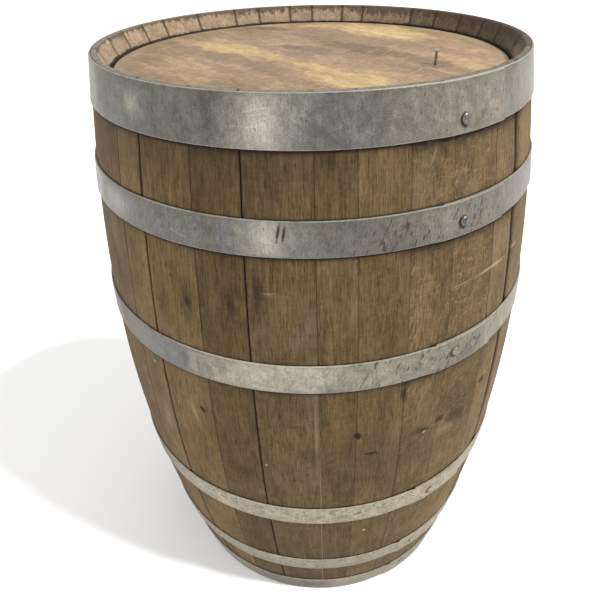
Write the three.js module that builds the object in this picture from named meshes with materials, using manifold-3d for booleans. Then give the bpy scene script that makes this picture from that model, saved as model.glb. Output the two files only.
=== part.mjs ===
// An oak wine barrel of about 225 litres, standing on end.
// Thirty bowed staves are held by six riveted steel hoops. A head of five doweled boards is let into
// a groove at each end. A tapered bung closes the bung hole, and a nail plugs a tasting hole in the head.
//
// Millimetres, +Z up. The origin is the centre of the circle that the barrel stands on, and -Y is its front.
// An azimuth is an angle in degrees round the barrel, from -Y towards +X.

import * as THREE from 'three';
import { mergeVertices } from 'three/addons/utils/BufferGeometryUtils.js';
import Module from 'manifold-3d';

// Cask
const barrelHeight = 950;
const bilgeRadius = 342;
const endRadius = 287;
const staveThickness = 27;
const jointGap = 0.4;
const outerCurveSteps = 10;
const innerCurveSteps = 6;

// Widths of the staves at the bilge, going round from the joint at the front.
const staveWidths = [
  51, 67, 62, 80, 58, 95, 95, 95, 57, 66,
  63, 59, 112, 45, 66, 48, 69, 53, 86, 86,
  58, 67, 60, 87, 87, 87, 51, 85, 67, 87,
];
const widestFlat = 37;

// End of a stave, from the rim inwards
const rimLand = 7;
const howelRadius = 269.5;
const bevelDepth = 25;
const howelDepth = 44;
const crozeDepth = 35;
const crozeWidth = 6;
const crozeCut = 5;

// Head
const headFaceDepth = 24.3;
const headThickness = 24;
const headFaceRadius = 265.5;
const headNeckRadius = 267.5;
const headTongueRadius = 273.4;
const headTongueThickness = 5.2;
const headInsideRadius = 250;
const headBoardWidths = [104, 112, 118, 108, 106];
const headGrainAzimuth = 37;
const headSegments = 48;

// Dowels that join the head boards, each fixed in one board and free in a blind hole of the next
const dowelRadius = 4;
const dowelReach = 16;
const dowelSpacing = 170;
const dowelSides = 6;
const dowelClearance = 0.5;

// Hoops. The lower three mirror these three.
const hoopThickness = 2;
const hoopClearance = 0.95;
const hoopStep = 6;
const lapStart = 27;
const lapSteps = 3;
const lapGap = 0.4;
const upperHoops = [
  { name: 'chime_hoop', bottom: 898, top: 949.5, rivet: 912 },
  { name: 'quarter_hoop', bottom: 787.5, top: 828, rivet: 804 },
  { name: 'bilge_hoop', bottom: 602, top: 644.5, rivet: 625 },
];

// Rivets, two through the lap of each hoop
const rivetAzimuths = [32.3, 38];
const rivetHeadRadius = 6.2;
const rivetHeadHeight = 2.6;
const rivetCrownRadius = 4.5;
const rivetCrownHeight = 2;
const rivetShankRadius = 3;
const rivetClearance = 0.4;
const rivetSides = 10;

// Bung and its tapered hole, in the widest stave at mid height
const bungHoleRadius = 25;
const bungTaper = 1 / 16;
const bungClearance = 0.4;
const bungStandProud = 11;
const bungReachInside = 4;
const bungEdge = 2;
const bungSides = 32;

// Nail in the tasting hole
const nailPlace = { x: 159, y: -73 };
const nailHeadRadius = 3.8;
const nailHeadThickness = 1.4;
const nailHeadEdge = 0.7;
const nailShankRadius = 1.6;
const nailStandProud = 17.5;
const nailReachInside = 5;
const nailPointLength = 4;
const nailHoleRadius = 2.1;
const nailSides = 12;

// Finishes
const staveColours = ['#83705c', '#7a6652', '#8a765f', '#75604c', '#806a55'];
const headColours = ['#c7a780', '#bf9d75', '#cdae86'];
const hoopColour = '#8f9190';
const rivetColour = '#7d7d78';
const bungColour = '#a98a63';
const nailColour = '#b9b6ad';

const overshoot = 10;
const fullTurn = 360;
const quarterTurn = 90;
const middle = barrelHeight / 2;
const bulge = bilgeRadius - endRadius;

const wasm = await Module();
wasm.setup();

// Makes a solid that manifold can join and cut.
function solidOf(geometry) {
  const bare = geometry.clone();
  bare.deleteAttribute('normal');
  bare.deleteAttribute('uv');
  const shared = mergeVertices(bare);
  return new wasm.Manifold(new wasm.Mesh({
    numProp: 3,
    vertProperties: new Float32Array(shared.attributes.position.array),
    triVerts: new Uint32Array(shared.index.array),
  }));
}

// Turns a joined or cut solid back into a geometry.
function geometryOf(solid) {
  const cut = solid.getMesh();
  const geometry = new THREE.BufferGeometry();
  geometry.setAttribute('position', new THREE.BufferAttribute(cut.vertProperties, 3));
  geometry.setIndex(new THREE.BufferAttribute(cut.triVerts, 1));
  return geometry;
}

function subtract(geometry, cutters) {
  const body = solidOf(geometry);
  return geometryOf(cutters.reduce((rest, cutter) => rest.subtract(solidOf(cutter)), body));
}

function namedMesh(name, geometry, color, roughness, metalness) {
  const mesh = new THREE.Mesh(geometry, new THREE.MeshStandardMaterial({ color, roughness, metalness }));
  mesh.name = name;
  return mesh;
}

function point(radius, height) {
  return new THREE.Vector2(radius, height);
}

// Turns an outline of radius and height round the Z axis.
function turned(outline, segments) {
  return new THREE.LatheGeometry(outline, segments).rotateX(Math.PI / 2);
}

// Turns a closed outline through part of a circle and closes both ends.
function turnedWedge(outline, segments, halfAngle) {
  const ring = [...outline, outline[0]];
  const wedge = new THREE.LatheGeometry(ring, segments, -halfAngle, 2 * halfAngle);
  const triangles = THREE.ShapeUtils.triangulateShape(outline, []);
  const lastRing = segments * ring.length;
  const faces = Array.from(wedge.index.array);
  for (const [a, b, c] of triangles) {
    faces.push(a, b, c);
    faces.push(lastRing + a, lastRing + c, lastRing + b);
  }
  wedge.setIndex(faces);
  return wedge.rotateX(Math.PI / 2);
}

// Points an object's own +Z straight out of the barrel's side, leaning up by the given angle.
function pointOutward(object, azimuth, radius, height, lean) {
  const angle = THREE.MathUtils.degToRad(azimuth);
  object.position.set(radius * Math.sin(angle), -radius * Math.cos(angle), height);
  object.rotation.set(Math.PI / 2 - lean, 0, angle, 'ZYX');
  return object;
}

// Radius of the staves' outer face at a height: a shallow bow from end to end.
function outerRadius(height) {
  return bilgeRadius - bulge * ((height - middle) / middle) ** 2;
}

function innerRadius(height) {
  return outerRadius(height) - staveThickness;
}

// Section of a stave end, from the rim down to where the bowed inner face begins.
function endSection() {
  const rim = barrelHeight;
  const crozeTop = rim - crozeDepth + crozeWidth / 2;
  const crozeBottom = rim - crozeDepth - crozeWidth / 2;
  return [
    point(endRadius - rimLand, rim),
    point(howelRadius, rim - bevelDepth),
    point(howelRadius, crozeTop),
    point(howelRadius + crozeCut, crozeTop),
    point(howelRadius + crozeCut, crozeBottom),
    point(howelRadius, crozeBottom),
    point(howelRadius, rim - howelDepth),
  ];
}

// Whole section of a stave, going up its outer face and down its inner face.
function staveSection() {
  const outline = [];
  for (let step = 0; step <= outerCurveSteps; step += 1) {
    const height = barrelHeight * step / outerCurveSteps;
    outline.push(point(outerRadius(height), height));
  }
  outline.push(...endSection());
  const innerTop = barrelHeight - howelDepth;
  const innerLength = innerTop - howelDepth;
  for (let step = 1; step < innerCurveSteps; step += 1) {
    const height = innerTop - innerLength * step / innerCurveSteps;
    outline.push(point(innerRadius(height), height));
  }
  const lowerEnd = endSection().map((corner) => point(corner.x, barrelHeight - corner.y));
  outline.push(...lowerEnd.reverse());
  return outline;
}

// Radius of the tapered bung hole at a distance out from the stave's outer face.
function bungRadiusAt(distanceOut) {
  return bungHoleRadius + distanceOut * bungTaper;
}

function bungHoleCutter() {
  const inner = -staveThickness - overshoot;
  const outline = [
    point(0, inner),
    point(bungRadiusAt(inner), inner),
    point(bungRadiusAt(overshoot), overshoot),
    point(0, overshoot),
  ];
  const cutter = new THREE.Mesh(turned(outline, bungSides));
  pointOutward(cutter, 0, bilgeRadius, middle, 0).updateMatrix();
  return cutter.geometry.applyMatrix4(cutter.matrix);
}

function bungGeometry() {
  const inner = -staveThickness - bungReachInside;
  const outer = bungStandProud;
  const outline = [
    point(0, inner),
    point(bungRadiusAt(inner) - bungClearance - bungEdge, inner),
    point(bungRadiusAt(inner) - bungClearance, inner + bungEdge),
    point(bungRadiusAt(outer) - bungClearance, outer - bungEdge),
    point(bungRadiusAt(outer) - bungClearance - bungEdge, outer),
    point(0, outer),
  ];
  return turned(outline, bungSides);
}

// Staves side by side all the way round, and the bung in the widest of them.
function staves() {
  const group = new THREE.Group();
  const section = staveSection();
  const circumference = staveWidths.reduce((sum, width) => sum + width, 0);
  const widest = Math.max(...staveWidths);
  let edge = 0;
  staveWidths.forEach((width, index) => {
    const angle = fullTurn * width / circumference;
    const azimuth = edge + angle / 2;
    const segments = Math.ceil(width / widestFlat);
    const halfGap = jointGap / 2 / howelRadius;
    const halfAngle = THREE.MathUtils.degToRad(angle / 2) - halfGap;
    const hasBung = width === widest;
    const name = hasBung ? 'bung_stave' : `stave_${String(index + 1).padStart(2, '0')}`;
    const plain = turnedWedge(section, segments, halfAngle);
    const geometry = hasBung ? subtract(plain, [bungHoleCutter()]) : plain;
    const stave = namedMesh(name, geometry, staveColours[index % staveColours.length], 0.85, 0);
    stave.rotation.z = THREE.MathUtils.degToRad(azimuth);
    group.add(stave);
    if (hasBung) {
      const bung = namedMesh('bung', bungGeometry(), bungColour, 0.8, 0);
      group.add(pointOutward(bung, azimuth, bilgeRadius, middle, 0));
    }
    edge += angle;
  });
  return group;
}

// Section of a round head, its face at zero, with the tongue that fits the groove in the staves.
function headSection() {
  const tongueMiddle = headFaceDepth - crozeDepth;
  const tongueTop = tongueMiddle + headTongueThickness / 2;
  const tongueBottom = tongueMiddle - headTongueThickness / 2;
  const inside = -headThickness;
  return [
    point(0, inside),
    point(headInsideRadius, inside),
    point(headNeckRadius, tongueBottom),
    point(headTongueRadius, tongueBottom),
    point(headTongueRadius, tongueTop),
    point(headNeckRadius, tongueTop),
    point(headFaceRadius, 0),
    point(0, 0),
  ];
}

// A dowel across a joint, lying along the group's own Y.
function dowelGeometry(radius, from, to, along) {
  const peg = new THREE.CylinderGeometry(radius, radius, to - from, dowelSides);
  return peg.translate(along, (from + to) / 2, -headThickness / 2);
}

// One head, face up, with its boards lying along X and side by side along Y.
function head(name) {
  const group = new THREE.Group();
  const disc = solidOf(turned(headSection(), headSegments));
  const total = headBoardWidths.reduce((sum, width) => sum + width, 0);
  const places = [-dowelSpacing / 2, dowelSpacing / 2];
  let edge = -total / 2;
  headBoardWidths.forEach((width, index) => {
    const isLast = index === headBoardWidths.length - 1;
    const cut = new THREE.BoxGeometry(total + overshoot, width - jointGap, 2 * headThickness + overshoot);
    cut.translate(0, edge + width / 2, 0);
    let board = disc.intersect(solidOf(cut));
    for (const along of places) {
      if (index > 0) {
        const reach = edge + dowelReach + dowelClearance;
        board = board.subtract(solidOf(dowelGeometry(dowelRadius + dowelClearance, edge - jointGap, reach, along)));
      }
      if (!isLast) {
        const joint = edge + width;
        board = board.add(solidOf(dowelGeometry(dowelRadius, joint - dowelReach, joint + dowelReach, along)));
      }
    }
    const color = headColours[index % headColours.length];
    group.add(namedMesh(`${name}_board_${index + 1}`, geometryOf(board), color, 0.8, 0));
    edge += width;
  });
  group.rotation.z = THREE.MathUtils.degToRad(headGrainAzimuth - quarterTurn);
  return group;
}

// The nail, its own origin where it enters the face of the head.
function nailGeometry() {
  const tip = -headThickness - nailReachInside;
  const outline = [
    point(0, tip),
    point(nailShankRadius, tip + nailPointLength),
    point(nailShankRadius, nailStandProud - nailHeadThickness),
    point(nailHeadRadius, nailStandProud - nailHeadThickness),
    point(nailHeadRadius, nailStandProud - nailHeadEdge),
    point(nailHeadRadius - nailHeadEdge, nailStandProud),
    point(0, nailStandProud),
  ];
  return turned(outline, nailSides);
}

// Both heads, with the tasting hole drilled in the upper one and the nail standing in it.
function heads() {
  const group = new THREE.Group();
  const upper = head('top_head');
  upper.position.z = barrelHeight - headFaceDepth;
  const lower = new THREE.Group();
  lower.add(head('bottom_head'));
  lower.rotation.x = Math.PI;
  lower.position.z = headFaceDepth;
  group.add(upper, lower);

  const nail = namedMesh('sample_nail', nailGeometry(), nailColour, 0.35, 0.9);
  nail.position.set(nailPlace.x, nailPlace.y, upper.position.z);
  group.add(nail);

  const holeLength = headThickness + 2 * overshoot;
  const hole = new THREE.CylinderGeometry(nailHoleRadius, nailHoleRadius, holeLength, nailSides);
  hole.rotateX(Math.PI / 2);
  hole.translate(nailPlace.x, nailPlace.y, -headThickness / 2);
  hole.rotateZ(-upper.rotation.z);
  hole.computeBoundingBox();
  const across = (hole.boundingBox.min.y + hole.boundingBox.max.y) / 2;
  let edge = -headBoardWidths.reduce((sum, width) => sum + width, 0) / 2;
  upper.children.forEach((board, index) => {
    const farEdge = edge + headBoardWidths[index];
    if (across > edge && across < farEdge) {
      board.geometry = subtract(board.geometry, [hole]);
    }
    edge = farEdge;
  });
  return group;
}

// A flat strip bent round the staves, with its outer end lapped over its inner end.
function hoopGeometry(bottom, top) {
  const turnSteps = fullTurn / hoopStep;
  const steps = turnSteps + lapSteps;
  const strip = new THREE.BoxGeometry(steps, 1, 1, steps, 1, 1);
  const corner = strip.attributes.position;
  for (let index = 0; index < corner.count; index += 1) {
    const step = corner.getX(index) + steps / 2;
    const isOutside = corner.getY(index) < 0;
    const height = corner.getZ(index) < 0 ? bottom : top;
    const lift = step < turnSteps ? 0 : hoopThickness + lapGap;
    const angle = THREE.MathUtils.degToRad(lapStart + step * hoopStep);
    const radius = outerRadius(height) + hoopClearance + lift + (isOutside ? hoopThickness : 0);
    corner.setXYZ(index, radius * Math.sin(angle), -radius * Math.cos(angle), height);
  }
  return strip;
}

// A domed rivet, its own origin on the outer face of the lap and its shank reaching in through both layers.
function rivetGeometry() {
  const shankEnd = -2 * hoopThickness - lapGap;
  const outline = [
    point(0, shankEnd),
    point(rivetShankRadius, shankEnd),
    point(rivetShankRadius, rivetClearance),
    point(rivetHeadRadius, rivetClearance),
    point(rivetCrownRadius, rivetCrownHeight),
    point(0, rivetHeadHeight),
  ];
  return turned(outline, rivetSides);
}

// One hoop with its rivets, drilled for their shanks.
function hoop(name, bottom, top, rivetHeight) {
  const group = new THREE.Group();
  const lean = Math.atan((outerRadius(bottom) - outerRadius(top)) / (top - bottom));
  const share = (rivetHeight - bottom) / (top - bottom);
  const chordRadius = THREE.MathUtils.lerp(outerRadius(bottom), outerRadius(top), share);
  const lapFace = chordRadius + hoopClearance + 2 * hoopThickness + lapGap;
  const drills = [];
  rivetAzimuths.forEach((azimuth, index) => {
    const stepStart = lapStart + hoopStep * Math.floor((azimuth - lapStart) / hoopStep);
    const fromMiddle = THREE.MathUtils.degToRad(azimuth - stepStart - hoopStep / 2);
    const flatRadius = lapFace * Math.cos(THREE.MathUtils.degToRad(hoopStep / 2)) / Math.cos(fromMiddle);
    const rivet = namedMesh(`${name}_rivet_${index + 1}`, rivetGeometry(), rivetColour, 0.5, 0.85);
    group.add(pointOutward(rivet, azimuth, flatRadius, rivetHeight, lean));
    const radius = rivetShankRadius + rivetClearance;
    const shaft = new THREE.CylinderGeometry(radius, radius, 2 * overshoot, rivetSides);
    const drill = new THREE.Mesh(shaft.rotateX(Math.PI / 2));
    pointOutward(drill, azimuth, flatRadius, rivetHeight, lean).updateMatrix();
    drills.push(drill.geometry.applyMatrix4(drill.matrix));
  });
  group.add(namedMesh(name, subtract(hoopGeometry(bottom, top), drills), hoopColour, 0.42, 0.9));
  return group;
}

function hoops() {
  const group = new THREE.Group();
  for (const { name, bottom, top, rivet } of upperHoops) {
    group.add(hoop(`${name}_top`, bottom, top, rivet));
    group.add(hoop(`${name}_bottom`, barrelHeight - top, barrelHeight - bottom, barrelHeight - rivet));
  }
  return group;
}

const barrel = new THREE.Group();
barrel.add(staves(), heads(), hoops());

export default barrel;
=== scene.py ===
import math
import random

import bmesh
import bpy
from mathutils import Matrix, Vector, noise


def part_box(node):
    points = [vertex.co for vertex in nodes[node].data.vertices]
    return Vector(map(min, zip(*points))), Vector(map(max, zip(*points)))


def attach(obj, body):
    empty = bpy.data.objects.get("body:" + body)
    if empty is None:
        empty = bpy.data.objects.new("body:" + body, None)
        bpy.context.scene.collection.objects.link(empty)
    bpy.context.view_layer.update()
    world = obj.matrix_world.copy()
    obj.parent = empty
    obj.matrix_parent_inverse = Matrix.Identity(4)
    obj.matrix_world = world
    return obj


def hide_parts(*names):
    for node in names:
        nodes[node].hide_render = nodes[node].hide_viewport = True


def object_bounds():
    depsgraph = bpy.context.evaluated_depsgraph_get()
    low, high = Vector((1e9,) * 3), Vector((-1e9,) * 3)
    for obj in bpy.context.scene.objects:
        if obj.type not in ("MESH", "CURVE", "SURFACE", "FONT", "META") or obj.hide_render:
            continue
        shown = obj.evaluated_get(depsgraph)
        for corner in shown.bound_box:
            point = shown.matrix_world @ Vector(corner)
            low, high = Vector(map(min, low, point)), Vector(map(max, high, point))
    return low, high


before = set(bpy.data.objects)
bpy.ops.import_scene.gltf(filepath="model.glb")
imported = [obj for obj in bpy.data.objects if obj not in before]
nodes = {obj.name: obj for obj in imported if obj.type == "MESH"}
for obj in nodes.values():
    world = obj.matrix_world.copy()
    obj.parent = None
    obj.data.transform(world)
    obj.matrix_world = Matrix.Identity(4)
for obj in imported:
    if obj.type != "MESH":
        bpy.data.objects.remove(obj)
cad_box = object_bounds()

# An old oak wine barrel on end: grey-brown staves, galvanised hoops, a paler sanded head.
# Metres. An azimuth is an angle round the barrel from its front, which is -Y, towards +X.

MM = 0.001
HOOPS = [name for name in sorted(nodes) if name.endswith(("_hoop_top", "_hoop_bottom"))]
STAVES = [name for name in sorted(nodes) if "stave" in name]
HEADS = ("top_head", "bottom_head")


# ---------------------------------------------------------------- measures from the frame

def azimuth_of(x, y):
    return math.atan2(x, -y)


def around(angle, radius, height):
    return Vector((radius * math.sin(angle), -radius * math.cos(angle), height))


def half_turn(angle):
    """The same angle between minus and plus half a turn."""
    return (angle + math.pi) % (2 * math.pi) - math.pi


def smooth(share):
    share = min(1.0, max(0.0, share))
    return share * share * (3 - 2 * share)


def middle_of(node):
    """The middle of the box round one CAD node."""
    low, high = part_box(node)
    return (low + high) / 2


def stave_edges(name):
    """Azimuths of a stave's two joints."""
    corners = [vertex.co for vertex in nodes[name].data.vertices]
    centre = sum(corners, Vector()) / len(corners)
    middle = azimuth_of(centre.x, centre.y)
    turns = [half_turn(azimuth_of(corner.x, corner.y) - middle) for corner in corners]
    return middle + min(turns), middle + max(turns)


def widest_radius(height):
    """Outer radius of the staves' CAD solids at one of their own levels."""
    return max(
        math.hypot(vertex.co.x, vertex.co.y)
        for name in STAVES
        for vertex in nodes[name].data.vertices
        if abs(vertex.co.z - height) < 0.1 * MM
    )


HEIGHT = cad_box[1].z
MIDDLE = HEIGHT / 2
BILGE_RADIUS = widest_radius(MIDDLE)
END_RADIUS = widest_radius(HEIGHT)
HEAD_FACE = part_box("top_head_board_3")[1].z
HEAD_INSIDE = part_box("top_head_board_3")[0].z
HEAD_FACE_RADIUS = 265.5 * MM
# Height of the painted shadow on the chime wall in the gap just above the upper head.
HEAD_GAP_SHADE = 3.2 * MM
HOOP_EDGES = {name: (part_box(name)[0].z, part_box(name)[1].z) for name in HOOPS}


def outer_radius(height):
    """The staves' bow from end to end."""
    return BILGE_RADIUS - (BILGE_RADIUS - END_RADIUS) * ((height - MIDDLE) / MIDDLE) ** 2


# ---------------------------------------------------------------- camera

CAMERA_PLACE = (0.0, -0.8402, 1.088)
CAMERA_PITCH = math.radians(-39.04)
CAMERA_YAW = math.radians(-0.12)
CAMERA_ROLL = math.radians(-1.18)
CAMERA_SHIFT = (-0.0310, 0.0748)
LENS = 32.6


def place_object(name, data):
    item = bpy.data.objects.new(name, data)
    bpy.context.scene.collection.objects.link(item)
    return item


def add_camera():
    data = bpy.data.cameras.new("camera")
    data.lens = LENS
    data.shift_x, data.shift_y = CAMERA_SHIFT
    data.clip_end = 100
    camera = place_object("camera", data)
    look = Matrix.Rotation(CAMERA_YAW, 4, "Z") @ Matrix.Rotation(math.pi / 2 + CAMERA_PITCH, 4, "X")
    camera.matrix_world = Matrix.Translation(CAMERA_PLACE) @ look @ Matrix.Rotation(CAMERA_ROLL, 4, "Z")
    bpy.context.scene.camera = camera


# ---------------------------------------------------------------- shader building

class Graph:
    """A node tree being filled. Each method adds one node and gives back what it puts out."""

    def __init__(self, tree):
        self.tree = tree

    def add(self, kind, inputs=None, **settings):
        node = self.tree.nodes.new(kind)
        for key, value in settings.items():
            setattr(node, key, value)
        for key, value in (inputs or {}).items():
            self.feed(node.inputs[key], value)
        return node

    def feed(self, socket, value):
        if isinstance(value, bpy.types.NodeSocket):
            self.tree.links.new(value, socket)
        elif isinstance(value, (tuple, list)) and socket.type == "RGBA" and len(value) == 3:
            socket.default_value = (*value, 1.0)
        else:
            socket.default_value = value

    def math(self, operation, a, b=0.0, clamp=False):
        node = self.add("ShaderNodeMath", {0: a, 1: b}, operation=operation, use_clamp=clamp)
        return node.outputs[0]

    def times(self, a, b, clamp=False):
        return self.math("MULTIPLY", a, b, clamp)

    def plus(self, a, b):
        return self.math("ADD", a, b)

    def minus(self, a, b, clamp=False):
        return self.math("SUBTRACT", a, b, clamp)

    def vector(self, operation, a, b=(0.0, 0.0, 0.0)):
        node = self.add("ShaderNodeVectorMath", {0: a, 1: b}, operation=operation)
        return node.outputs["Value" if operation in ("LENGTH", "DOT_PRODUCT") else "Vector"]

    def stretch(self, vector, shares):
        """A place scaled along each axis, which stretches a pattern along the small ones."""
        return self.vector("MULTIPLY", vector, shares)

    def part(self, vector, axis):
        return self.add("ShaderNodeSeparateXYZ", {0: vector}).outputs[axis]

    def noise(self, place, scale, detail=3.0, roughness=0.55, distortion=0.0):
        inputs = {"Vector": place, "Scale": scale, "Detail": detail, "Roughness": roughness,
                  "Distortion": distortion}
        return self.add("ShaderNodeTexNoise", inputs).outputs["Fac"]

    def rise(self, value, low, high, bottom=0.0, top=1.0):
        """Goes smoothly from bottom to top as value goes from low to high."""
        inputs = {"Value": value, "From Min": low, "From Max": high, "To Min": bottom, "To Max": top}
        return self.add("ShaderNodeMapRange", inputs, interpolation_type="SMOOTHSTEP").outputs["Result"]

    def mix(self, share, a, b):
        node = self.add("ShaderNodeMix", data_type="RGBA")
        self.feed(node.inputs[0], share)
        self.feed(node.inputs[6], a)
        self.feed(node.inputs[7], b)
        return node.outputs[2]

    def scale(self, colour, share):
        """A colour made lighter or darker."""
        node = self.add("ShaderNodeVectorMath", {0: colour, "Scale": share}, operation="SCALE")
        return node.outputs["Vector"]

    def shade(self, colour, value, low, high, bottom, top):
        """A colour made darker where a value is low and lighter where it is high."""
        return self.scale(colour, self.rise(value, low, high, bottom, top))

    def tint(self, colour, other, mask, strength):
        """A colour with another laid over it where a mask is."""
        return self.mix(self.times(mask, strength), colour, other)

    def attribute(self, name, output="Vector"):
        return self.add("ShaderNodeAttribute", attribute_name=name).outputs[output]

    def use(self, group, inputs, output):
        node = self.add("ShaderNodeGroup", node_tree=group)
        for key, value in inputs.items():
            self.feed(node.inputs[key], value)
        return node.outputs[output] if isinstance(output, str) else [node.outputs[name] for name in output]


FLOAT = "NodeSocketFloat"
VECTOR = "NodeSocketVector"


def shader_group(name, inputs, outputs):
    """An empty node group with named sockets: the graph, its input sockets and its output node."""
    tree = bpy.data.node_groups.new(name, "ShaderNodeTree")
    for label, (kind, value) in inputs.items():
        socket = tree.interface.new_socket(label, in_out="INPUT", socket_type=kind)
        if kind == FLOAT:
            socket.default_value = value
    for label in outputs:
        tree.interface.new_socket(label, in_out="OUTPUT", socket_type=FLOAT)
    entry = tree.nodes.new("NodeGroupInput")
    leave = tree.nodes.new("NodeGroupOutput")
    return Graph(tree), entry.outputs, leave.inputs


GRAIN_OUTPUTS = ("Shade", "Fibres", "Relief")


def oak_grain_group():
    """Growth rings, fibres and pores of sawn oak, along the place's Z. Shade is how light
    or dark they leave the wood, about 1."""
    graph, given, result = shader_group(
        "oak grain",
        {"Place": (VECTOR, None), "Ring Width": (FLOAT, 3.0), "Contrast": (FLOAT, 1.0)},
        GRAIN_OUTPUTS,
    )
    place = given["Place"]
    ring_scale = graph.math("DIVIDE", 420.0, given["Ring Width"])
    rings = graph.noise(graph.stretch(place, (1.0, 1.0, 0.035)), ring_scale, 3.0, 0.6, 0.15)
    fibres = graph.noise(graph.stretch(place, (1.0, 1.0, 0.075)), 470.0, 4.0, 0.75)
    pores = graph.noise(graph.stretch(place, (1.0, 1.0, 0.075)), 900.0, 2.0, 0.5)
    fibre_mask = graph.rise(fibres, 0.33, 0.67)
    pore_mask = graph.rise(pores, 0.57, 0.68)
    shade = graph.plus(graph.rise(rings, 0.34, 0.66, -0.045, 0.04),
                       graph.rise(fibres, 0.33, 0.67, -0.20, 0.19))
    shade = graph.minus(shade, graph.times(pore_mask, 0.22))
    shade = graph.plus(graph.times(shade, given["Contrast"]), 1.0)
    relief = graph.minus(graph.plus(fibre_mask, rings), pore_mask)
    for label, value in zip(GRAIN_OUTPUTS, (shade, fibre_mask, relief)):
        graph.feed(result[label], value)
    return graph.tree


def fine_scratches_group():
    """Many fine light scratches, leaning, such as sanding leaves."""
    graph, given, result = shader_group(
        "fine scratches",
        {"Place": (VECTOR, None), "Lean": (FLOAT, 0.4), "Scale": (FLOAT, 400.0)},
        ("Mask",),
    )
    leaning = graph.add("ShaderNodeVectorRotate", {"Vector": given["Place"], "Angle": given["Lean"]},
                        rotation_type="Y_AXIS").outputs[0]
    lines = graph.noise(graph.stretch(leaning, (1.0, 1.0, 0.07)), given["Scale"], 3.0, 0.6, 0.3)
    gaps = graph.noise(given["Place"], 19.0, 3.0, 0.6)
    mask = graph.times(graph.rise(lines, 0.56, 0.70), graph.rise(gaps, 0.38, 0.60))
    graph.feed(result["Mask"], mask)
    return graph.tree


def patches_group():
    """Soft uneven patches, such as stains, bloom or worn places."""
    graph, given, result = shader_group(
        "patches",
        {"Place": (VECTOR, None), "Scale": (FLOAT, 5.0), "Start": (FLOAT, 0.45), "Full": (FLOAT, 0.65)},
        ("Mask",),
    )
    spread = graph.noise(given["Place"], given["Scale"], 5.0, 0.62, 0.4)
    graph.feed(result["Mask"], graph.rise(spread, given["Start"], given["Full"]))
    return graph.tree


def mark_group():
    """One mark at a known place: solid in its middle, ragged and fading at its edge."""
    graph, given, result = shader_group(
        "mark",
        {"Place": (VECTOR, None), "Centre": (VECTOR, None), "Turn": (FLOAT, 0.0),
         "Per Width": (VECTOR, None), "Ragged": (FLOAT, 0.3), "Softness": (FLOAT, 0.5)},
        ("Mask",),
    )
    away = graph.vector("SUBTRACT", given["Place"], given["Centre"])
    turned_node = graph.add("ShaderNodeVectorRotate", {"Vector": away, "Angle": given["Turn"]},
                            rotation_type="Y_AXIS")
    scaled = graph.stretch(turned_node.outputs[0], given["Per Width"])
    distance = graph.vector("LENGTH", scaled)
    rough = graph.minus(graph.noise(scaled, 1.6, 4.0, 0.7), 0.5)
    distance = graph.plus(distance, graph.times(rough, given["Ragged"]))
    start = graph.minus(1.0, given["Softness"])
    graph.feed(result["Mask"], graph.rise(distance, start, 1.0, 1.0, 0.0))
    return graph.tree


def scratches_group():
    """Long thin scratches that run about along the place's X."""
    graph, given, result = shader_group(
        "scratches",
        {"Place": (VECTOR, None), "Scale": (FLOAT, 40.0), "Amount": (FLOAT, 0.5)},
        ("Mask",),
    )
    bent = graph.add("ShaderNodeTexNoise", {"Vector": given["Place"], "Scale": 9.0, "Detail": 1.0})
    wander = graph.stretch(bent.outputs["Color"], (0.03, 0.03, 0.03))
    place = graph.stretch(graph.vector("ADD", given["Place"], wander), (0.09, 0.09, 1.0))
    lines = graph.noise(place, given["Scale"], 2.0, 0.5)
    thin = graph.math("ABSOLUTE", graph.minus(lines, 0.5))
    line = graph.rise(thin, 0.0, 0.012, 1.0, 0.0)
    gaps = graph.noise(given["Place"], 21.0, 2.0, 0.5)
    keep = graph.rise(gaps, graph.minus(0.72, graph.times(given["Amount"], 0.3)), 0.75)
    graph.feed(result["Mask"], graph.times(line, keep))
    return graph.tree


def specks_group():
    """Small scattered specks, each in its own random cell."""
    graph, given, result = shader_group(
        "specks",
        {"Place": (VECTOR, None), "Scale": (FLOAT, 200.0), "Size": (FLOAT, 0.2), "Amount": (FLOAT, 0.3)},
        ("Mask",),
    )
    cells = graph.add("ShaderNodeTexVoronoi", {"Vector": given["Place"], "Scale": given["Scale"]})
    chosen = graph.math("LESS_THAN", graph.part(cells.outputs["Color"], 0), given["Amount"])
    dot = graph.rise(cells.outputs["Distance"], graph.times(given["Size"], 0.5), given["Size"],
                     1.0, 0.0)
    graph.feed(result["Mask"], graph.times(dot, chosen))
    return graph.tree


OAK_GRAIN = oak_grain_group()
PATCHES = patches_group()
MARK = mark_group()
SCRATCHES = scratches_group()
SPECKS = specks_group()
FINE_SCRATCHES = fine_scratches_group()


def oak_grain(graph, place, ring_width=3.0, contrast=1.0):
    inputs = {"Place": place, "Ring Width": ring_width, "Contrast": contrast}
    return graph.use(OAK_GRAIN, inputs, GRAIN_OUTPUTS)


def patches(graph, place, scale, start, full):
    return graph.use(PATCHES, {"Place": place, "Scale": scale, "Start": start, "Full": full}, "Mask")


def specks(graph, place, scale, size, amount):
    return graph.use(SPECKS, {"Place": place, "Scale": scale, "Size": size, "Amount": amount}, "Mask")


def fine_scratches(graph, place, lean, scale):
    return graph.use(FINE_SCRATCHES, {"Place": place, "Lean": lean, "Scale": scale}, "Mask")


def unrolled_place(graph):
    """A spot on the barrel as its azimuth and its height, both in shares of the widest radius."""
    spot = graph.attribute("spot")
    azimuth = graph.math("ARCTAN2", graph.part(spot, 0), graph.times(graph.part(spot, 1), -1.0))
    height = graph.math("DIVIDE", graph.part(spot, 2), BILGE_RADIUS)
    return graph.add("ShaderNodeCombineXYZ", {"X": azimuth, "Z": height}).outputs[0]


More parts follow.
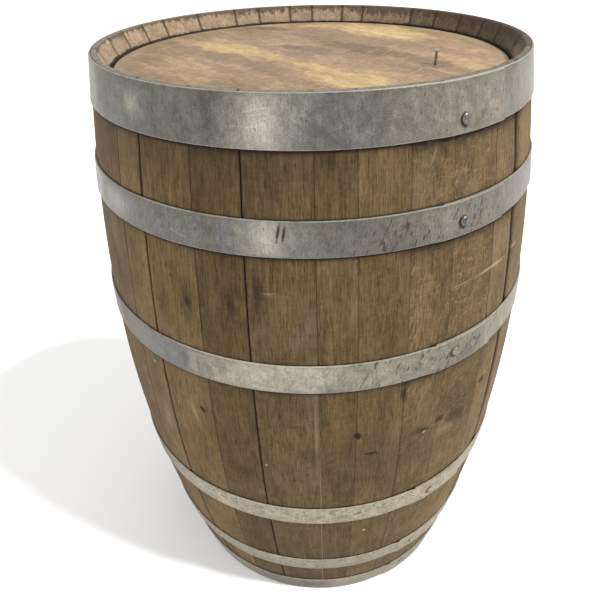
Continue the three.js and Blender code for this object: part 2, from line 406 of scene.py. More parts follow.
def new_material(name, **fixed):
    """A material with a Principled shader whose even values are set on its own sockets."""
    material = bpy.data.materials.new(name)
    material.use_nodes = True
    shader = material.node_tree.nodes["Principled BSDF"]
    for label, value in fixed.items():
        shader.inputs[label.replace("_", " ")].default_value = value
    return material, Graph(material.node_tree), shader


def finish_material(graph, shader, colour, roughness, height, depth, strength, metallic=None):
    graph.feed(shader.inputs["Base Color"], colour)
    graph.feed(shader.inputs["Roughness"], roughness)
    if metallic is not None:
        graph.feed(shader.inputs["Metallic"], metallic)
    bump = graph.add("ShaderNodeBump", {"Strength": strength, "Distance": depth, "Height": height})
    graph.feed(shader.inputs["Normal"], bump.outputs["Normal"])


def add_marks(graph, colour, place, marks, tint):
    """Lays marks of one tint over a colour. A mark is its centre, half width and half height in the
    place's own units, its turn in degrees, its strength and its softness."""
    share = 0.0
    for across, up, wide, tall, turn, strength, softness in marks:
        mask = graph.use(MARK, {
            "Place": place, "Centre": (across, 0.0, up), "Turn": math.radians(turn),
            "Per Width": (1 / wide, 0.0, 1 / tall), "Ragged": 0.8, "Softness": softness,
        }, "Mask")
        share = graph.math("MAXIMUM", share, graph.times(mask, strength))
    return graph.mix(share, colour, tint)


def on_side(marks):
    """Marks on the barrel's side, given by azimuth and half width in degrees, height and half height
    in metres, in the units of unrolled_place."""
    return [(math.radians(azimuth), height / BILGE_RADIUS, math.radians(wide), tall / BILGE_RADIUS, *rest)
            for azimuth, height, wide, tall, *rest in marks]


# ---------------------------------------------------------------- wood

STAVE_DARK_MARKS = on_side((
    (-26.0, 0.880, 40.0, 0.075, 0, 0.38, 0.95),
    (18.0, 0.435, 27.0, 0.130, 0, 0.30, 0.95),
    (38.0, 0.520, 16.0, 0.090, 0, 0.30, 0.95),
    (-29.0, 0.712, 1.5, 0.017, 0, 0.85, 0.9),
    (-29.0, 0.712, 3.4, 0.045, 0, 0.40, 0.95),
    (-28.8, 0.536, 0.7, 0.007, 25, 0.95, 0.4),
    (-12.2, 0.740, 1.8, 0.055, 0, 0.65, 0.95),
    (-13.4, 0.870, 1.4, 0.040, 0, 0.60, 0.95),
    (-18.0, 0.715, 1.6, 0.040, 0, 0.45, 0.95),
    (3.2, 0.885, 2.2, 0.012, 8, 0.55, 0.9),
    (27.6, 0.882, 2.6, 0.010, -30, 0.55, 0.9),
    (19.6, 0.577, 1.3, 0.022, 0, 0.85, 0.8),
    (19.8, 0.600, 2.8, 0.024, 0, 0.60, 0.9),
    (8.8, 0.516, 1.2, 0.010, 10, 1.0, 0.6),
    (12.4, 0.475, 2.6, 0.004, -4, 1.0, 0.7),
    (2.7, 0.466, 2.0, 0.008, 25, 0.45, 0.9),
    (6.5, 0.430, 3.6, 0.035, 0, 0.35, 0.95),
    (14.0, 0.413, 2.4, 0.010, -10, 0.40, 0.9),
    (26.0, 0.492, 3.4, 0.013, -12, 0.80, 0.9),
    (31.0, 0.500, 2.4, 0.010, 20, 0.85, 0.8),
    (37.0, 0.486, 7.0, 0.032, -8, 0.62, 0.95),
    (46.5, 0.523, 2.2, 0.011, 10, 0.90, 0.8),
    (45.0, 0.560, 3.0, 0.040, 0, 0.30, 0.95),
    (-6.0, 0.538, 2.4, 0.006, 12, 0.45, 0.9),
    (-19.5, 0.428, 3.6, 0.022, 0, 0.40, 0.95),
    (-3.0, 0.480, 4.5, 0.030, 0, 0.30, 0.95),
    (-31.0, 0.420, 1.6, 0.030, 0, 0.30, 0.95),
))
STAVE_PALE_MARKS = on_side((
    (-9.8, 0.742, 1.7, 0.0014, 3, 0.40, 0.8),
    (-31.6, 0.520, 1.3, 0.036, 6, 0.34, 0.98),
    (-43.5, 0.470, 3.0, 0.050, -6, 0.22, 0.98),
    (-44.0, 0.582, 1.0, 0.004, -30, 0.55, 0.8),
    (-13.3, 0.452, 0.4, 0.003, 0, 0.80, 0.5),
    (26.5, 0.487, 0.9, 0.003, 20, 0.70, 0.6),
    (12.5, 0.262, 0.8, 0.005, 0, 0.70, 0.6),
    (33.5, 0.7200, 4.5, 0.0014, 1, 0.40, 0.8),
    (44.5, 0.7215, 8.0, 0.0034, 1, 0.70, 0.8),
    (54.5, 0.7250, 4.0, 0.0032, 6, 0.65, 0.8),
    (34.0, 0.470, 5.0, 0.018, 0, 0.22, 0.98),
    (-0.8, 0.520, 0.6, 0.120, 0, 0.25, 0.95),
))
STAVE_ORANGE_MARKS = on_side((
    (-41.0, 0.335, 5.0, 0.045, 0, 0.40, 0.95),
    (-29.0, 0.340, 3.2, 0.040, 0, 0.30, 0.95),
    (-30.5, 0.260, 5.0, 0.030, 0, 0.30, 0.95),
))


def stave_wood(graph, place, shade):
    """The bare wood of a stave, in its own colour, with painted shade on the staves that face the front:
    streaked, blotched, sawn, flecked and sanded.
    """
    tone_and_shade = graph.attribute("tone_and_shade")
    lightness, warmth, figure = (graph.part(tone_and_shade, axis) for axis in range(3))
    cool = graph.mix(lightness, (0.025, 0.017, 0.010), (0.186, 0.133, 0.078))
    warm = graph.mix(lightness, (0.029, 0.017, 0.007), (0.204, 0.132, 0.059))
    colour = graph.scale(graph.mix(warmth, cool, warm), shade)

    streaks = graph.noise(graph.stretch(place, (1.0, 1.0, 0.10)), 42.0, 4.0, 0.62, 0.3)
    colour = graph.shade(colour, streaks, 0.32, 0.68, 0.91, 1.08)
    blotches = graph.noise(graph.stretch(place, (1.0, 1.0, 0.55)), 17.0, 5.0, 0.62, 0.5)
    colour = graph.shade(colour, blotches, 0.34, 0.66, 0.84, 1.13)
    sawn = graph.noise(graph.stretch(place, (0.18, 0.18, 1.0)), 330.0, 3.0, 0.6)
    colour = graph.shade(colour, sawn, 0.35, 0.65, 0.93, 1.06)
    flecks = graph.noise(graph.stretch(place, (0.6, 0.6, 1.0)), 210.0, 3.0, 0.65, 0.8)
    fleck_mask = graph.times(graph.rise(flecks, 0.52, 0.64), figure)
    colour = graph.tint(colour, (0.240, 0.170, 0.095), fleck_mask, 0.35)
    sanding = fine_scratches(graph, place, -0.42, 330.0)
    sanding = graph.times(sanding, graph.rise(figure, 0.25, 0.9))
    return graph.tint(colour, (0.290, 0.215, 0.132), sanding, 0.50)


def stave_stains(graph, colour, place):
    """Bloom, damp and known marks over the wood of a stave, then its dark joints and the painted shadow and
    staining beside its hoops.
    """
    unrolled = unrolled_place(graph)
    seam = graph.attribute("seam", "Fac")
    hoop_shade_and_grime = graph.attribute("hoop_shade_and_grime", "Fac")
    bloom = patches(graph, place, 8.0, 0.53, 0.74)
    colour = graph.tint(colour, (0.190, 0.152, 0.112), bloom, 0.30)
    damp = patches(graph, graph.stretch(place, (1.0, 1.0, 0.35)), 16.0, 0.55, 0.75)
    colour = graph.tint(colour, (0.026, 0.018, 0.012), damp, 0.55)
    colour = add_marks(graph, colour, unrolled, STAVE_ORANGE_MARKS, (0.200, 0.108, 0.046))
    colour = add_marks(graph, colour, unrolled, STAVE_DARK_MARKS, (0.016, 0.012, 0.009))
    colour = add_marks(graph, colour, unrolled, STAVE_PALE_MARKS, (0.330, 0.270, 0.195))
    speck = specks(graph, place, 120.0, 0.16, 0.08)
    colour = graph.tint(colour, (0.022, 0.016, 0.012), speck, 0.6)

    ragged = graph.noise(place, 90.0, 3.0, 0.6)
    # Painted shadow and staining beside the hoops: near black, darkest just below each hoop.
    hoop_shade_and_grime_mask = graph.times(hoop_shade_and_grime, graph.rise(ragged, 0.2, 0.6, 0.7, 1.0))
    colour = graph.tint(colour, (0.010, 0.008, 0.006), hoop_shade_and_grime_mask, 0.94)
    pale_joint = graph.times(seam, -1.0, clamp=True)
    colour = graph.mix(pale_joint, colour, (0.235, 0.178, 0.112))
    dark_joint = graph.times(seam, 1.0, clamp=True)
    return graph.mix(dark_joint, colour, (0.008, 0.006, 0.005))


def weathered_oak():
    material, graph, shader = new_material("weathered_oak", Specular_IOR_Level=0.08)
    place = graph.attribute("grain")
    shade, fibres, relief = oak_grain(graph, place, 3.2, 1.8)
    colour = stave_stains(graph, stave_wood(graph, place, shade), place)
    roughness = graph.rise(fibres, 0.0, 1.0, 0.62, 0.82)
    finish_material(graph, shader, colour, roughness, relief, 0.5 * MM, 0.6)
    return material


def chime_oak():
    """Inside of the rim: bare oak low down, blackened and worn along its top edge, with painted shade where
    the wall is turned away from the key light and a painted shadow in the gap above the head.
    """
    material, graph, shader = new_material("chime_oak", Specular_IOR_Level=0.16)
    place = graph.attribute("grain")
    unrolled = unrolled_place(graph)
    tone_and_shade = graph.attribute("chime_tone_and_shade")
    seam = graph.attribute("seam", "Fac")
    shade, fibres, relief = oak_grain(graph, place, 2.4, 0.9)
    # Painted shade: the wall is darker on the staves turned away from the key light.
    colour = graph.mix(graph.part(tone_and_shade, 0), (0.105, 0.075, 0.046), (0.330, 0.245, 0.165))
    colour = graph.scale(colour, shade)
    cloud = graph.noise(place, 75.0, 4.0, 0.65, 0.8)
    colour = graph.shade(colour, cloud, 0.33, 0.67, 0.76, 1.16)
    top = HEIGHT / BILGE_RADIUS
    below_rim = graph.minus(top, graph.part(unrolled, 2))
    drips = graph.noise(graph.stretch(place, (1.0, 1.0, 0.25)), 95.0, 5.0, 0.7, 0.6)
    # The blackened band reaches further down where the wall gets painted shade.
    reach = graph.times(graph.rise(drips, 0.30, 0.72, 0.004, 0.052), graph.part(tone_and_shade, 1))
    weathering_and_shade = graph.rise(below_rim, graph.times(reach, 0.45), reach, 1.0, 0.0)
    colour = graph.tint(colour, (0.062, 0.044, 0.030), weathering_and_shade, 0.82)
    land = graph.rise(below_rim, 0.4 * MM / BILGE_RADIUS, 1.0 * MM / BILGE_RADIUS, 1.0, 0.0)
    # The land is darker too where the wall gets painted shade.
    worn = graph.mix(graph.part(tone_and_shade, 0), (0.050, 0.040, 0.030), (0.190, 0.162, 0.130))
    colour = graph.mix(graph.times(land, graph.rise(cloud, 0.35, 0.6, 0.5, 0.95)), colour, worn)
    # Painted shadow in the gap between the chime wall and the head, with a ragged top.
    gap_ragged = graph.noise(place, 60.0, 3.0, 0.6)
    gap_shade_top = graph.times(graph.rise(gap_ragged, 0.3, 0.7, 0.6, 1.4), HEAD_GAP_SHADE / BILGE_RADIUS)
    over_head = graph.minus(graph.part(unrolled, 2), HEAD_FACE / BILGE_RADIUS)
    line = graph.rise(over_head, graph.times(gap_shade_top, 0.35), gap_shade_top, 1.0, 0.0)
    colour = graph.tint(colour, (0.012, 0.008, 0.006), line, 0.93)
    joint = graph.times(graph.math("ABSOLUTE", seam), 0.9, clamp=True)
    colour = graph.mix(joint, colour, (0.030, 0.020, 0.013))
    finish_material(graph, shader, colour, graph.rise(fibres, 0.0, 1.0, 0.62, 0.8), relief, 0.5 * MM, 0.6)
    return material


def inside_oak():
    """Inside of the barrel: toasted oak, stained by wine."""
    material, graph, shader = new_material("inside_oak", Specular_IOR_Level=0.2)
    place = graph.attribute("grain")
    shade, fibres, relief = oak_grain(graph, place)
    stain = patches(graph, place, 6.0, 0.4, 0.65)
    colour = graph.mix(stain, (0.105, 0.050, 0.036), (0.062, 0.018, 0.025))
    colour = graph.scale(colour, shade)
    finish_material(graph, shader, colour, graph.rise(fibres, 0.0, 1.0, 0.6, 0.8), relief, 0.4 * MM, 0.5)
    return material


# Marks on the upper head: centre and half sizes in metres, long way first, turned along the boards.
HEAD_GOLD_MARKS = (
    (0.115, 0.165, 0.120, 0.050, -50, 0.90, 0.35),
    (0.020, 0.228, 0.080, 0.020, -10, 0.70, 0.5),
    (-0.125, 0.060, 0.100, 0.032, -35, 0.80, 0.4),
    (-0.070, 0.015, 0.060, 0.018, -60, 0.60, 0.5),
    (0.060, -0.165, 0.110, 0.045, -50, 0.60, 0.4),
    (0.010, -0.080, 0.070, 0.020, -48, 0.60, 0.5),
    (0.218, -0.085, 0.060, 0.026, -60, 0.35, 0.5),
    (-0.190, 0.110, 0.050, 0.020, -40, 0.55, 0.6),
)
HEAD_BROWN_MARKS = (
    (0.080, 0.025, 0.120, 0.030, -42, 0.80, 0.45),
    (0.145, -0.050, 0.080, 0.026, -50, 0.75, 0.5),
    (-0.010, 0.045, 0.060, 0.020, -30, 0.65, 0.5),
    (-0.075, 0.215, 0.080, 0.018, -20, 0.75, 0.5),
    (-0.085, -0.165, 0.080, 0.028, -55, 0.55, 0.6),
    (-0.110, -0.080, 0.060, 0.018, -50, 0.55, 0.6),
    (0.010, 0.125, 0.060, 0.014, -40, 0.45, 0.6),
    (-0.215, -0.020, 0.050, 0.024, -60, 0.45, 0.6),
)
# Size of the painted shadow that the nail casts on the head, to its left.
NAIL_SHADOW_SIZE = 4.5 * MM


def head_oak():
    """Sanded oak: golden where it is clean, grey-brown where it is weathered, with rippled figure, a
    painted shadow beside the nail and a painted shadow in the gap round its edge.
    """
    material, graph, shader = new_material("head_oak", Specular_IOR_Level=0.22)
    place = graph.attribute("grain")
    plan = graph.attribute("plan")
    edge = graph.minus(HEAD_FACE_RADIUS, graph.vector("LENGTH", plan))
    shade, _, relief = oak_grain(graph, place, 4.0, 0.55)
    wander = graph.add("ShaderNodeTexNoise",
                       {"Vector": place, "Scale": 32.0, "Detail": 5.0, "Roughness": 0.7}).outputs["Color"]
    push = graph.stretch(graph.vector("SUBTRACT", wander, (0.5, 0.5, 0.5)), (0.055, 0.0, 0.055))
    brushed = graph.vector("ADD", plan, push)
    along = graph.stretch(place, (1.0, 1.0, 0.40))
    clean = patches(graph, along, 10.0, 0.42, 0.62)
    colour = graph.mix(clean, (0.205, 0.139, 0.082), (0.300, 0.205, 0.114))
    colour = add_marks(graph, colour, brushed, HEAD_GOLD_MARKS, (0.430, 0.308, 0.140))
    colour = add_marks(graph, colour, brushed, HEAD_BROWN_MARKS, (0.120, 0.079, 0.044))
    # Painted shadow of the nail on the head, beside its foot.
    nail_low, nail_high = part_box("sample_nail")
    nail_shadow_mark = (nail_low.x - NAIL_SHADOW_SIZE, nail_high.y, 2 * NAIL_SHADOW_SIZE, NAIL_SHADOW_SIZE / 2, 0, 0.75, 0.6)
    colour = add_marks(graph, colour, plan, [nail_shadow_mark], (0.030, 0.020, 0.013))
    cloud = graph.noise(along, 45.0, 5.0, 0.68, 1.0)
    colour = graph.shade(colour, cloud, 0.34, 0.66, 0.80, 1.16)
    ripple = graph.noise(graph.stretch(place, (0.55, 1.0, 1.0)), 150.0, 4.0, 0.7, 1.4)
    colour = graph.shade(colour, ripple, 0.36, 0.64, 0.84, 1.14)
    colour = graph.scale(colour, shade)
    sanding = fine_scratches(graph, place, 1.2, 260.0)
    colour = graph.tint(colour, (0.500, 0.395, 0.235), sanding, 0.30)
    near_edge = graph.rise(edge, 0.0, 0.030, 1.0, 0.0)
    colour = graph.tint(colour, (0.330, 0.262, 0.182), near_edge, 0.35)
    # Painted shadow in the gap round the head's edge.
    head_gap_shade = graph.rise(edge, -0.002, 0.0022, 1.0, 0.0)
    colour = graph.tint(colour, (0.030, 0.020, 0.013), head_gap_shade, 0.90)
    finish_material(graph, shader, colour, graph.rise(cloud, 0.3, 0.7, 0.5, 0.68), relief, 0.3 * MM, 0.45)
    return material


def bung_wood():
    material, graph, shader = new_material("bung_wood", Specular_IOR_Level=0.3)
    place = graph.add("ShaderNodeTexCoord").outputs["Object"]
    shade, fibres, relief = oak_grain(graph, place, 2.2)
    stain = patches(graph, place, 45.0, 0.45, 0.62)
    colour = graph.mix(fibres, (0.27, 0.17, 0.095), (0.33, 0.215, 0.12))
    colour = graph.scale(colour, shade)
    colour = graph.tint(colour, (0.17, 0.055, 0.055), stain, 0.6)
    finish_material(graph, shader, colour, graph.rise(fibres, 0.0, 1.0, 0.5, 0.7), relief, 0.3 * MM, 0.5)
    return material


# ---------------------------------------------------------------- steel

HOOP_DARK_MARKS = on_side((
    (-7.3, 0.816, 0.45, 0.014, -12, 1.0, 0.6),
    (-6.2, 0.814, 0.42, 0.014, -12, 1.0, 0.6),
    (-7.6, 0.806, 0.5, 0.003, 10, 0.60, 0.7),
    (49.0, 0.917, 0.25, 0.005, 10, 0.80, 0.6),
    (-27.6, 0.624, 0.2, 0.022, 3, 0.55, 0.7),
    (38.6, 0.629, 0.5, 0.006, 25, 0.80, 0.6),
    (40.6, 0.627, 0.4, 0.005, 25, 0.80, 0.6),
    (22.0, 0.618, 0.5, 0.006, 35, 0.60, 0.6),
    (10.1, 0.328, 1.4, 0.004, 12, 0.80, 0.7),
    (12.0, 0.330, 0.5, 0.003, 0, 0.80, 0.6),
))
HOOP_RUST_MARKS = on_side((
    (42.0, 0.912, 1.1, 0.0028, -8, 0.75, 0.8),
    (36.8, 0.798, 2.2, 0.0040, 4, 0.40, 0.9),
    (49.0, 0.943, 7.0, 0.0030, 0, 0.35, 0.9),
    (-20.0, 0.640, 3.0, 0.0035, 0, 0.30, 0.9),
))
HOOP_GREY_MARKS = on_side((
    (-47.0, 0.624, 19.4, 0.110, 0, 0.80, 0.10),
    (-33.0, 0.922, 5.5, 0.060, 0, 0.40, 0.9),
    (-30.0, 0.808, 9.0, 0.060, 0, 0.45, 0.9),
    (-70.0, 0.924, 16.0, 0.060, 0, 0.45, 0.9),
))
HOOP_PALE_MARKS = on_side((
    (-41.5, 0.925, 3.8, 0.028, -6, 0.60, 0.95),
    (-50.0, 0.807, 8.0, 0.020, 0, 0.40, 0.9),
    (-10.0, 0.926, 5.5, 0.040, 0, 0.30, 0.95),
    (-9.5, 0.808, 4.5, 0.040, 0, 0.30, 0.95),
    (-7.0, 0.624, 17.0, 0.050, 0, 0.50, 0.8),
    (-24.0, 0.627, 2.2, 0.0012, -30, 0.80, 0.6),
))
HOOP_DIRTY_MARKS = on_side((
    (-68.0, 0.360, 30.0, 0.380, 0, 0.85, 0.8),
    (-12.0, 0.027, 30.0, 0.060, 0, 0.95, 0.9),
    (0.0, 0.080, 80.0, 0.120, 0, 0.30, 0.5),
    (-38.0, 0.140, 22.0, 0.060, 0, 0.35, 0.9),
    (-58.0, 0.624, 12.0, 0.080, 0, 0.60, 0.9),
    (42.0, 0.806, 20.0, 0.080, 0, 0.30, 0.9),
    (10.0, 0.806, 34.0, 0.080, 0, 0.35, 0.9),
    (-20.0, 0.808, 6.0, 0.060, 0, 0.40, 0.9),
    (33.0, 0.620, 15.0, 0.060, 0, 0.50, 0.9),
    (-55.0, 0.924, 8.0, 0.080, 0, 0.85, 0.9),
    (-20.0, 0.924, 5.0, 0.080, 0, 0.45, 0.9),
    (4.0, 0.142, 34.0, 0.090, 0, 0.30, 0.9),
))
HOOP_WARM_MARKS = on_side((
    (40.0, 0.924, 38.0, 0.300, 0, 0.80, 0.7),
    (-12.0, 0.924, 12.0, 0.090, 0, 0.35, 0.9),
))
HOOP_BLUE_MARKS = on_side((
    (3.2, 0.9485, 1.3, 0.0012, 0, 0.75, 0.6),
    (37.6, 0.915, 0.3, 0.0040, 0, 0.45, 0.8),
    (38.4, 0.921, 0.3, 0.0030, 0, 0.45, 0.8),
))
# Painted bluish reflections in the hoops' highlights, in front.
HOOP_REFLECTION_MARKS = on_side((
    (-19.0, 0.926, 1.8, 0.040, 0, 0.30, 0.9),
    (-18.5, 0.808, 2.2, 0.030, 0, 0.40, 0.9),
    (-1.5, 0.624, 1.6, 0.030, 0, 0.20, 0.9),
))


def rivet_shadow_and_grime():
    """Marks for the painted shadow and staining round each hoop's proud rivet, most of it below and to the
    left, away from the key light.
    """
    marks = []
    for name in HOOPS:
        spot = middle_of(f"{name}_rivet_1")
        azimuth = math.degrees(azimuth_of(spot.x, spot.y))
        marks.append((azimuth - 0.45, spot.z - 1.6 * MM, 1.6, 9.2 * MM, 0, 1.0, 0.4))
    return on_side(marks)


def zinc_coat(graph, place, unrolled, chalk, cloud, mottle, grit):
    """The zinc itself: cool and spangled where it is new, warm and chalky where it is old, with painted
    bluish reflections in its highlights.
    """
    colour = graph.mix(chalk, (0.132, 0.129, 0.113), (0.275, 0.241, 0.176))
    colour = add_marks(graph, colour, unrolled, HOOP_WARM_MARKS, (0.235, 0.215, 0.176))
    colour = add_marks(graph, colour, unrolled, HOOP_PALE_MARKS, (0.350, 0.330, 0.275))
    colour = add_marks(graph, colour, unrolled, HOOP_GREY_MARKS, (0.112, 0.112, 0.104))
    # Painted bluish reflections.
    colour = add_marks(graph, colour, unrolled, HOOP_REFLECTION_MARKS, (0.190, 0.212, 0.245))
    colour = add_marks(graph, colour, unrolled, HOOP_DIRTY_MARKS, (0.066, 0.058, 0.045))
    colour = graph.shade(colour, cloud, 0.32, 0.68, 0.90, 1.10)
    colour = graph.shade(colour, mottle, 0.34, 0.66, 0.86, 1.12)
    cells = graph.add("ShaderNodeTexVoronoi", {"Vector": place, "Scale": 95.0}).outputs["Color"]
    colour = graph.scale(colour, graph.plus(graph.times(graph.part(cells, 0), 0.16), 0.92))
    streaks = graph.noise(graph.stretch(place, (1.0, 1.0, 0.06)), 420.0, 4.0, 0.7)
    colour = graph.shade(colour, streaks, 0.32, 0.68, 0.84, 1.14)
    return graph.shade(colour, grit, 0.32, 0.70, 0.80, 1.28)


def zinc_specks(graph, colour, place, age):
    """Stains, flaked spots and scratches on the zinc. Gives the colour and the mask of the spots."""
    stain = patches(graph, graph.stretch(place, (1.0, 1.0, 0.5)), 32.0, 0.52, 0.70)
    colour = graph.tint(colour, (0.098, 0.082, 0.058), stain, 0.35)
    flakes = graph.noise(graph.stretch(place, (0.42, 1.0, 1.0)), 270.0, 3.0, 0.68)
    flake_mask = graph.times(graph.rise(flakes, 0.53, 0.62), graph.rise(age, 0.3, 0.9))
    dots = specks(graph, place, 170.0, 0.26, 0.13)
    spots = graph.math("MAXIMUM", graph.times(flake_mask, 0.75), graph.times(dots, 0.7))
    colour = graph.mix(spots, colour, (0.052, 0.038, 0.024))
    scratch = graph.use(SCRATCHES, {"Place": place, "Scale": 60.0, "Amount": 0.7}, "Mask")
    return graph.tint(colour, (0.420, 0.410, 0.380), scratch, 0.35), spots


def hoop_damage(graph, colour, place, unrolled, worn):
    """Slanted nicks from the driver, and known marks. Gives the colour and the mask of the nicks."""
    slanted = graph.add("ShaderNodeVectorRotate", {"Vector": place, "Angle": math.radians(-26)},
                        rotation_type="Y_AXIS").outputs[0]
    nick_noise = graph.noise(graph.stretch(slanted, (1.0, 1.0, 0.20)), 300.0, 2.0, 0.5)
    nicks = graph.times(graph.rise(nick_noise, 0.60, 0.64), worn)
    colour = graph.tint(colour, (0.030, 0.026, 0.020), nicks, 0.95)
    colour = add_marks(graph, colour, unrolled, HOOP_DARK_MARKS, (0.025, 0.021, 0.016))
    # Painted shadow and staining of each proud rivet on its hoop.
    colour = add_marks(graph, colour, unrolled, rivet_shadow_and_grime(), (0.022, 0.018, 0.013))
    colour = add_marks(graph, colour, unrolled, HOOP_RUST_MARKS, (0.240, 0.100, 0.040))
    return add_marks(graph, colour, unrolled, HOOP_BLUE_MARKS, (0.040, 0.055, 0.170)), nicks


def galvanised_steel():
    """Zinc-coated hoop iron: spangled and streaky, chalky and speckled where it has aged, paler at its
    edges from wear and painted highlight, with painted bluish reflections.
    """
    material, graph, shader = new_material("galvanised_steel")
    place = graph.attribute("grain")
    unrolled = unrolled_place(graph)
    wear = graph.attribute("wear")
    age, worn, edge = (graph.part(wear, axis) for axis in range(3))
    cloud = graph.noise(place, 15.0, 5.0, 0.62, 0.5)
    mottle = graph.noise(place, 75.0, 4.0, 0.65, 0.4)
    grit = graph.noise(place, 900.0, 2.0, 0.6)
    uneven = graph.times(graph.minus(cloud, 0.5), 0.8)
    chalk = graph.rise(graph.plus(age, uneven), 0.15, 0.85)

    colour = zinc_coat(graph, place, unrolled, chalk, cloud, mottle, grit)
    colour, spots = zinc_specks(graph, colour, place, age)
    colour, nicks = hoop_damage(graph, colour, place, unrolled, worn)
    soot = graph.times(graph.rise(edge, -1.0, 0.0, 1.0, 0.0), graph.rise(mottle, 0.4, 0.6))
    colour = graph.tint(colour, (0.090, 0.074, 0.052), soot, 0.45)
    # Painted highlight along the hoops' edges, partly worn zinc: paler and duller right at each edge.
    edge_wear_and_highlight = graph.times(graph.rise(edge, 0.3, 1.0), graph.rise(mottle, 0.25, 0.55, 0.55, 1.0))
    colour = graph.tint(colour, (0.380, 0.355, 0.295), edge_wear_and_highlight, 0.45)

    roughness = graph.plus(graph.rise(cloud, 0.3, 0.7, 0.30, 0.44), graph.times(chalk, 0.22))
    roughness = graph.plus(roughness, graph.times(graph.minus(mottle, 0.5), 0.35))
    roughness = graph.plus(roughness, graph.times(edge_wear_and_highlight, 0.3))
    dull = graph.plus(graph.times(spots, 0.3), graph.times(edge_wear_and_highlight, 0.5))
    metallic = graph.minus(graph.rise(chalk, 0.0, 1.0, 0.80, 0.25), dull, clamp=True)
    height = graph.plus(graph.times(grit, 0.25), mottle)
    height = graph.minus(height, graph.times(nicks, 0.6))
    finish_material(graph, shader, colour, roughness, height, 0.7 * MM, 0.4, metallic)
    return material


def nail_steel():
    material, graph, shader = new_material("nail_steel", Metallic=0.9)
    place = graph.add("ShaderNodeTexCoord").outputs["Object"]
    drawn = graph.noise(graph.stretch(place, (1.0, 1.0, 0.05)), 2400.0, 2.0, 0.5)
    dull = graph.noise(place, 400.0, 3.0, 0.6)
    colour = graph.mix(graph.rise(dull, 0.4, 0.65), (0.26, 0.22, 0.17), (0.52, 0.49, 0.43))
    finish_material(graph, shader, colour, graph.rise(dull, 0.3, 0.7, 0.28, 0.45), drawn, 0.1 * MM, 0.4)
    return material


WEATHERED_OAK = weathered_oak()
CHIME_OAK = chime_oak()
INSIDE_OAK = inside_oak()
HEAD_OAK = head_oak()
BUNG_WOOD = bung_wood()
GALVANISED = galvanised_steel()
NAIL_STEEL = nail_steel()


# ---------------------------------------------------------------- mesh building

SMOOTH_ANGLE = math.radians(35)
CUTTER_SPARE = 10 * MM
MERGE_WITHIN = 0.002 * MM


def make_piece(name, points, faces, materials, face_slots=None):
    """A mesh object from its points and faces, smooth except at sharp edges."""
    mesh = bpy.data.meshes.new(name)
    mesh.from_pydata(points, [], faces)
    for material in materials:
        mesh.materials.append(material)
    if face_slots:
        mesh.polygons.foreach_set("material_index", face_slots)
    piece = place_object(name, mesh)
    tidy_mesh(mesh)
    return piece


def tidy_mesh(mesh):
    shape = bmesh.new()
    shape.from_mesh(mesh)
    bmesh.ops.remove_doubles(shape, verts=shape.verts, dist=MERGE_WITHIN)
    bmesh.ops.recalc_face_normals(shape, faces=shape.faces)
    shape.to_mesh(mesh)
    shape.free()
    mesh.shade_smooth()
    mesh.set_sharp_from_angle(angle=SMOOTH_ANGLE)


def store(piece, name, values):
    """Keeps one number or one vector for each point of a piece, for its material."""
    if isinstance(values[0], (int, float)):
        attribute = piece.data.attributes.new(name, "FLOAT", "POINT")
        attribute.data.foreach_set("value", values)
    else:
        attribute = piece.data.attributes.new(name, "FLOAT_VECTOR", "POINT")
        attribute.data.foreach_set("vector", [part for value in values for part in value])


def skin(rings, ring):
    """Faces of a solid made of rings of points in a row: its sides, ring by ring, then its two ends."""
    faces, last = [], (rings - 1) * ring
    for here in range(0, last, ring):
        for row in range(ring):
            above = (row + 1) % ring
            faces.append((here + row, here + ring + row, here + ring + above, here + above))
    return faces + [tuple(range(ring)), tuple(reversed(range(last, last + ring)))]


def turned_piece(name, outline, segments, place, material):
    """A solid turned round its own Z from an outline of radius and height, then put in its place."""
    points, faces, last = [], [], len(outline) - 1
    for step in range(segments):
        angle = 2 * math.pi * step / segments
        for radius, height in outline:
            points.append(place @ Vector((radius * math.cos(angle), radius * math.sin(angle), height)))
    for step in range(segments):
        here, there = step * len(outline), (step + 1) % segments * len(outline)
        for row in range(last):
            faces.append((here + row, there + row, there + row + 1, here + row + 1))
    return make_piece(name, points, faces, [material])


def cut(piece, cutter):
    """Takes a cutter's shape out of a piece and removes the cutter."""
    modifier = piece.modifiers.new("cut", "BOOLEAN")
    modifier.operation = "DIFFERENCE"
    modifier.solver = "EXACT"
    modifier.object = cutter
    graph = bpy.context.evaluated_depsgraph_get()
    mesh = bpy.data.meshes.new_from_object(piece.evaluated_get(graph))
    piece.modifiers.clear()
    old = piece.data
    piece.data = mesh
    mesh.name = old.name
    bpy.data.meshes.remove(old)
    bpy.data.objects.remove(cutter)
    tidy_mesh(mesh)


def outward_place(azimuth, radius, height, lean=0.0):
    """Where a piece's own Z points straight out of the barrel's side, leaning up."""
    turn = Matrix.Rotation(azimuth, 4, "Z") @ Matrix.Rotation(math.pi / 2 - lean, 4, "X")
    return Matrix.Translation(around(azimuth, radius, height)) @ turn


def settle(piece, body, slot, *replaced):
    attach(piece, body)
    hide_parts(*replaced)


# ---------------------------------------------------------------- staves

STAVE_THICKNESS = 27 * MM
LAP_MIDDLE = math.radians(38)
LAP_HALF = math.radians(22)
# Reaches of the painted shadow and staining on the wood below and above the hoops.
SHADE_BELOW_HOOPS, SHADE_UNDER_LAP, SHADE_FADE = 3.9 * MM, 5.0 * MM, 9 * MM
SHADE_ABOVE_UPPER, SHADE_ABOVE_LOWER = 1.5 * MM, 2.8 * MM
RIM_LAND = 7 * MM
RIM_ROUND = 1.2 * MM
HOWEL_RADIUS = 269.5 * MM
BEVEL_DEPTH = 25 * MM
HOWEL_DEPTH = 44 * MM
CROZE_TOP = 32 * MM
CROZE_BOTTOM = 38 * MM
CROZE_CUT = 5 * MM
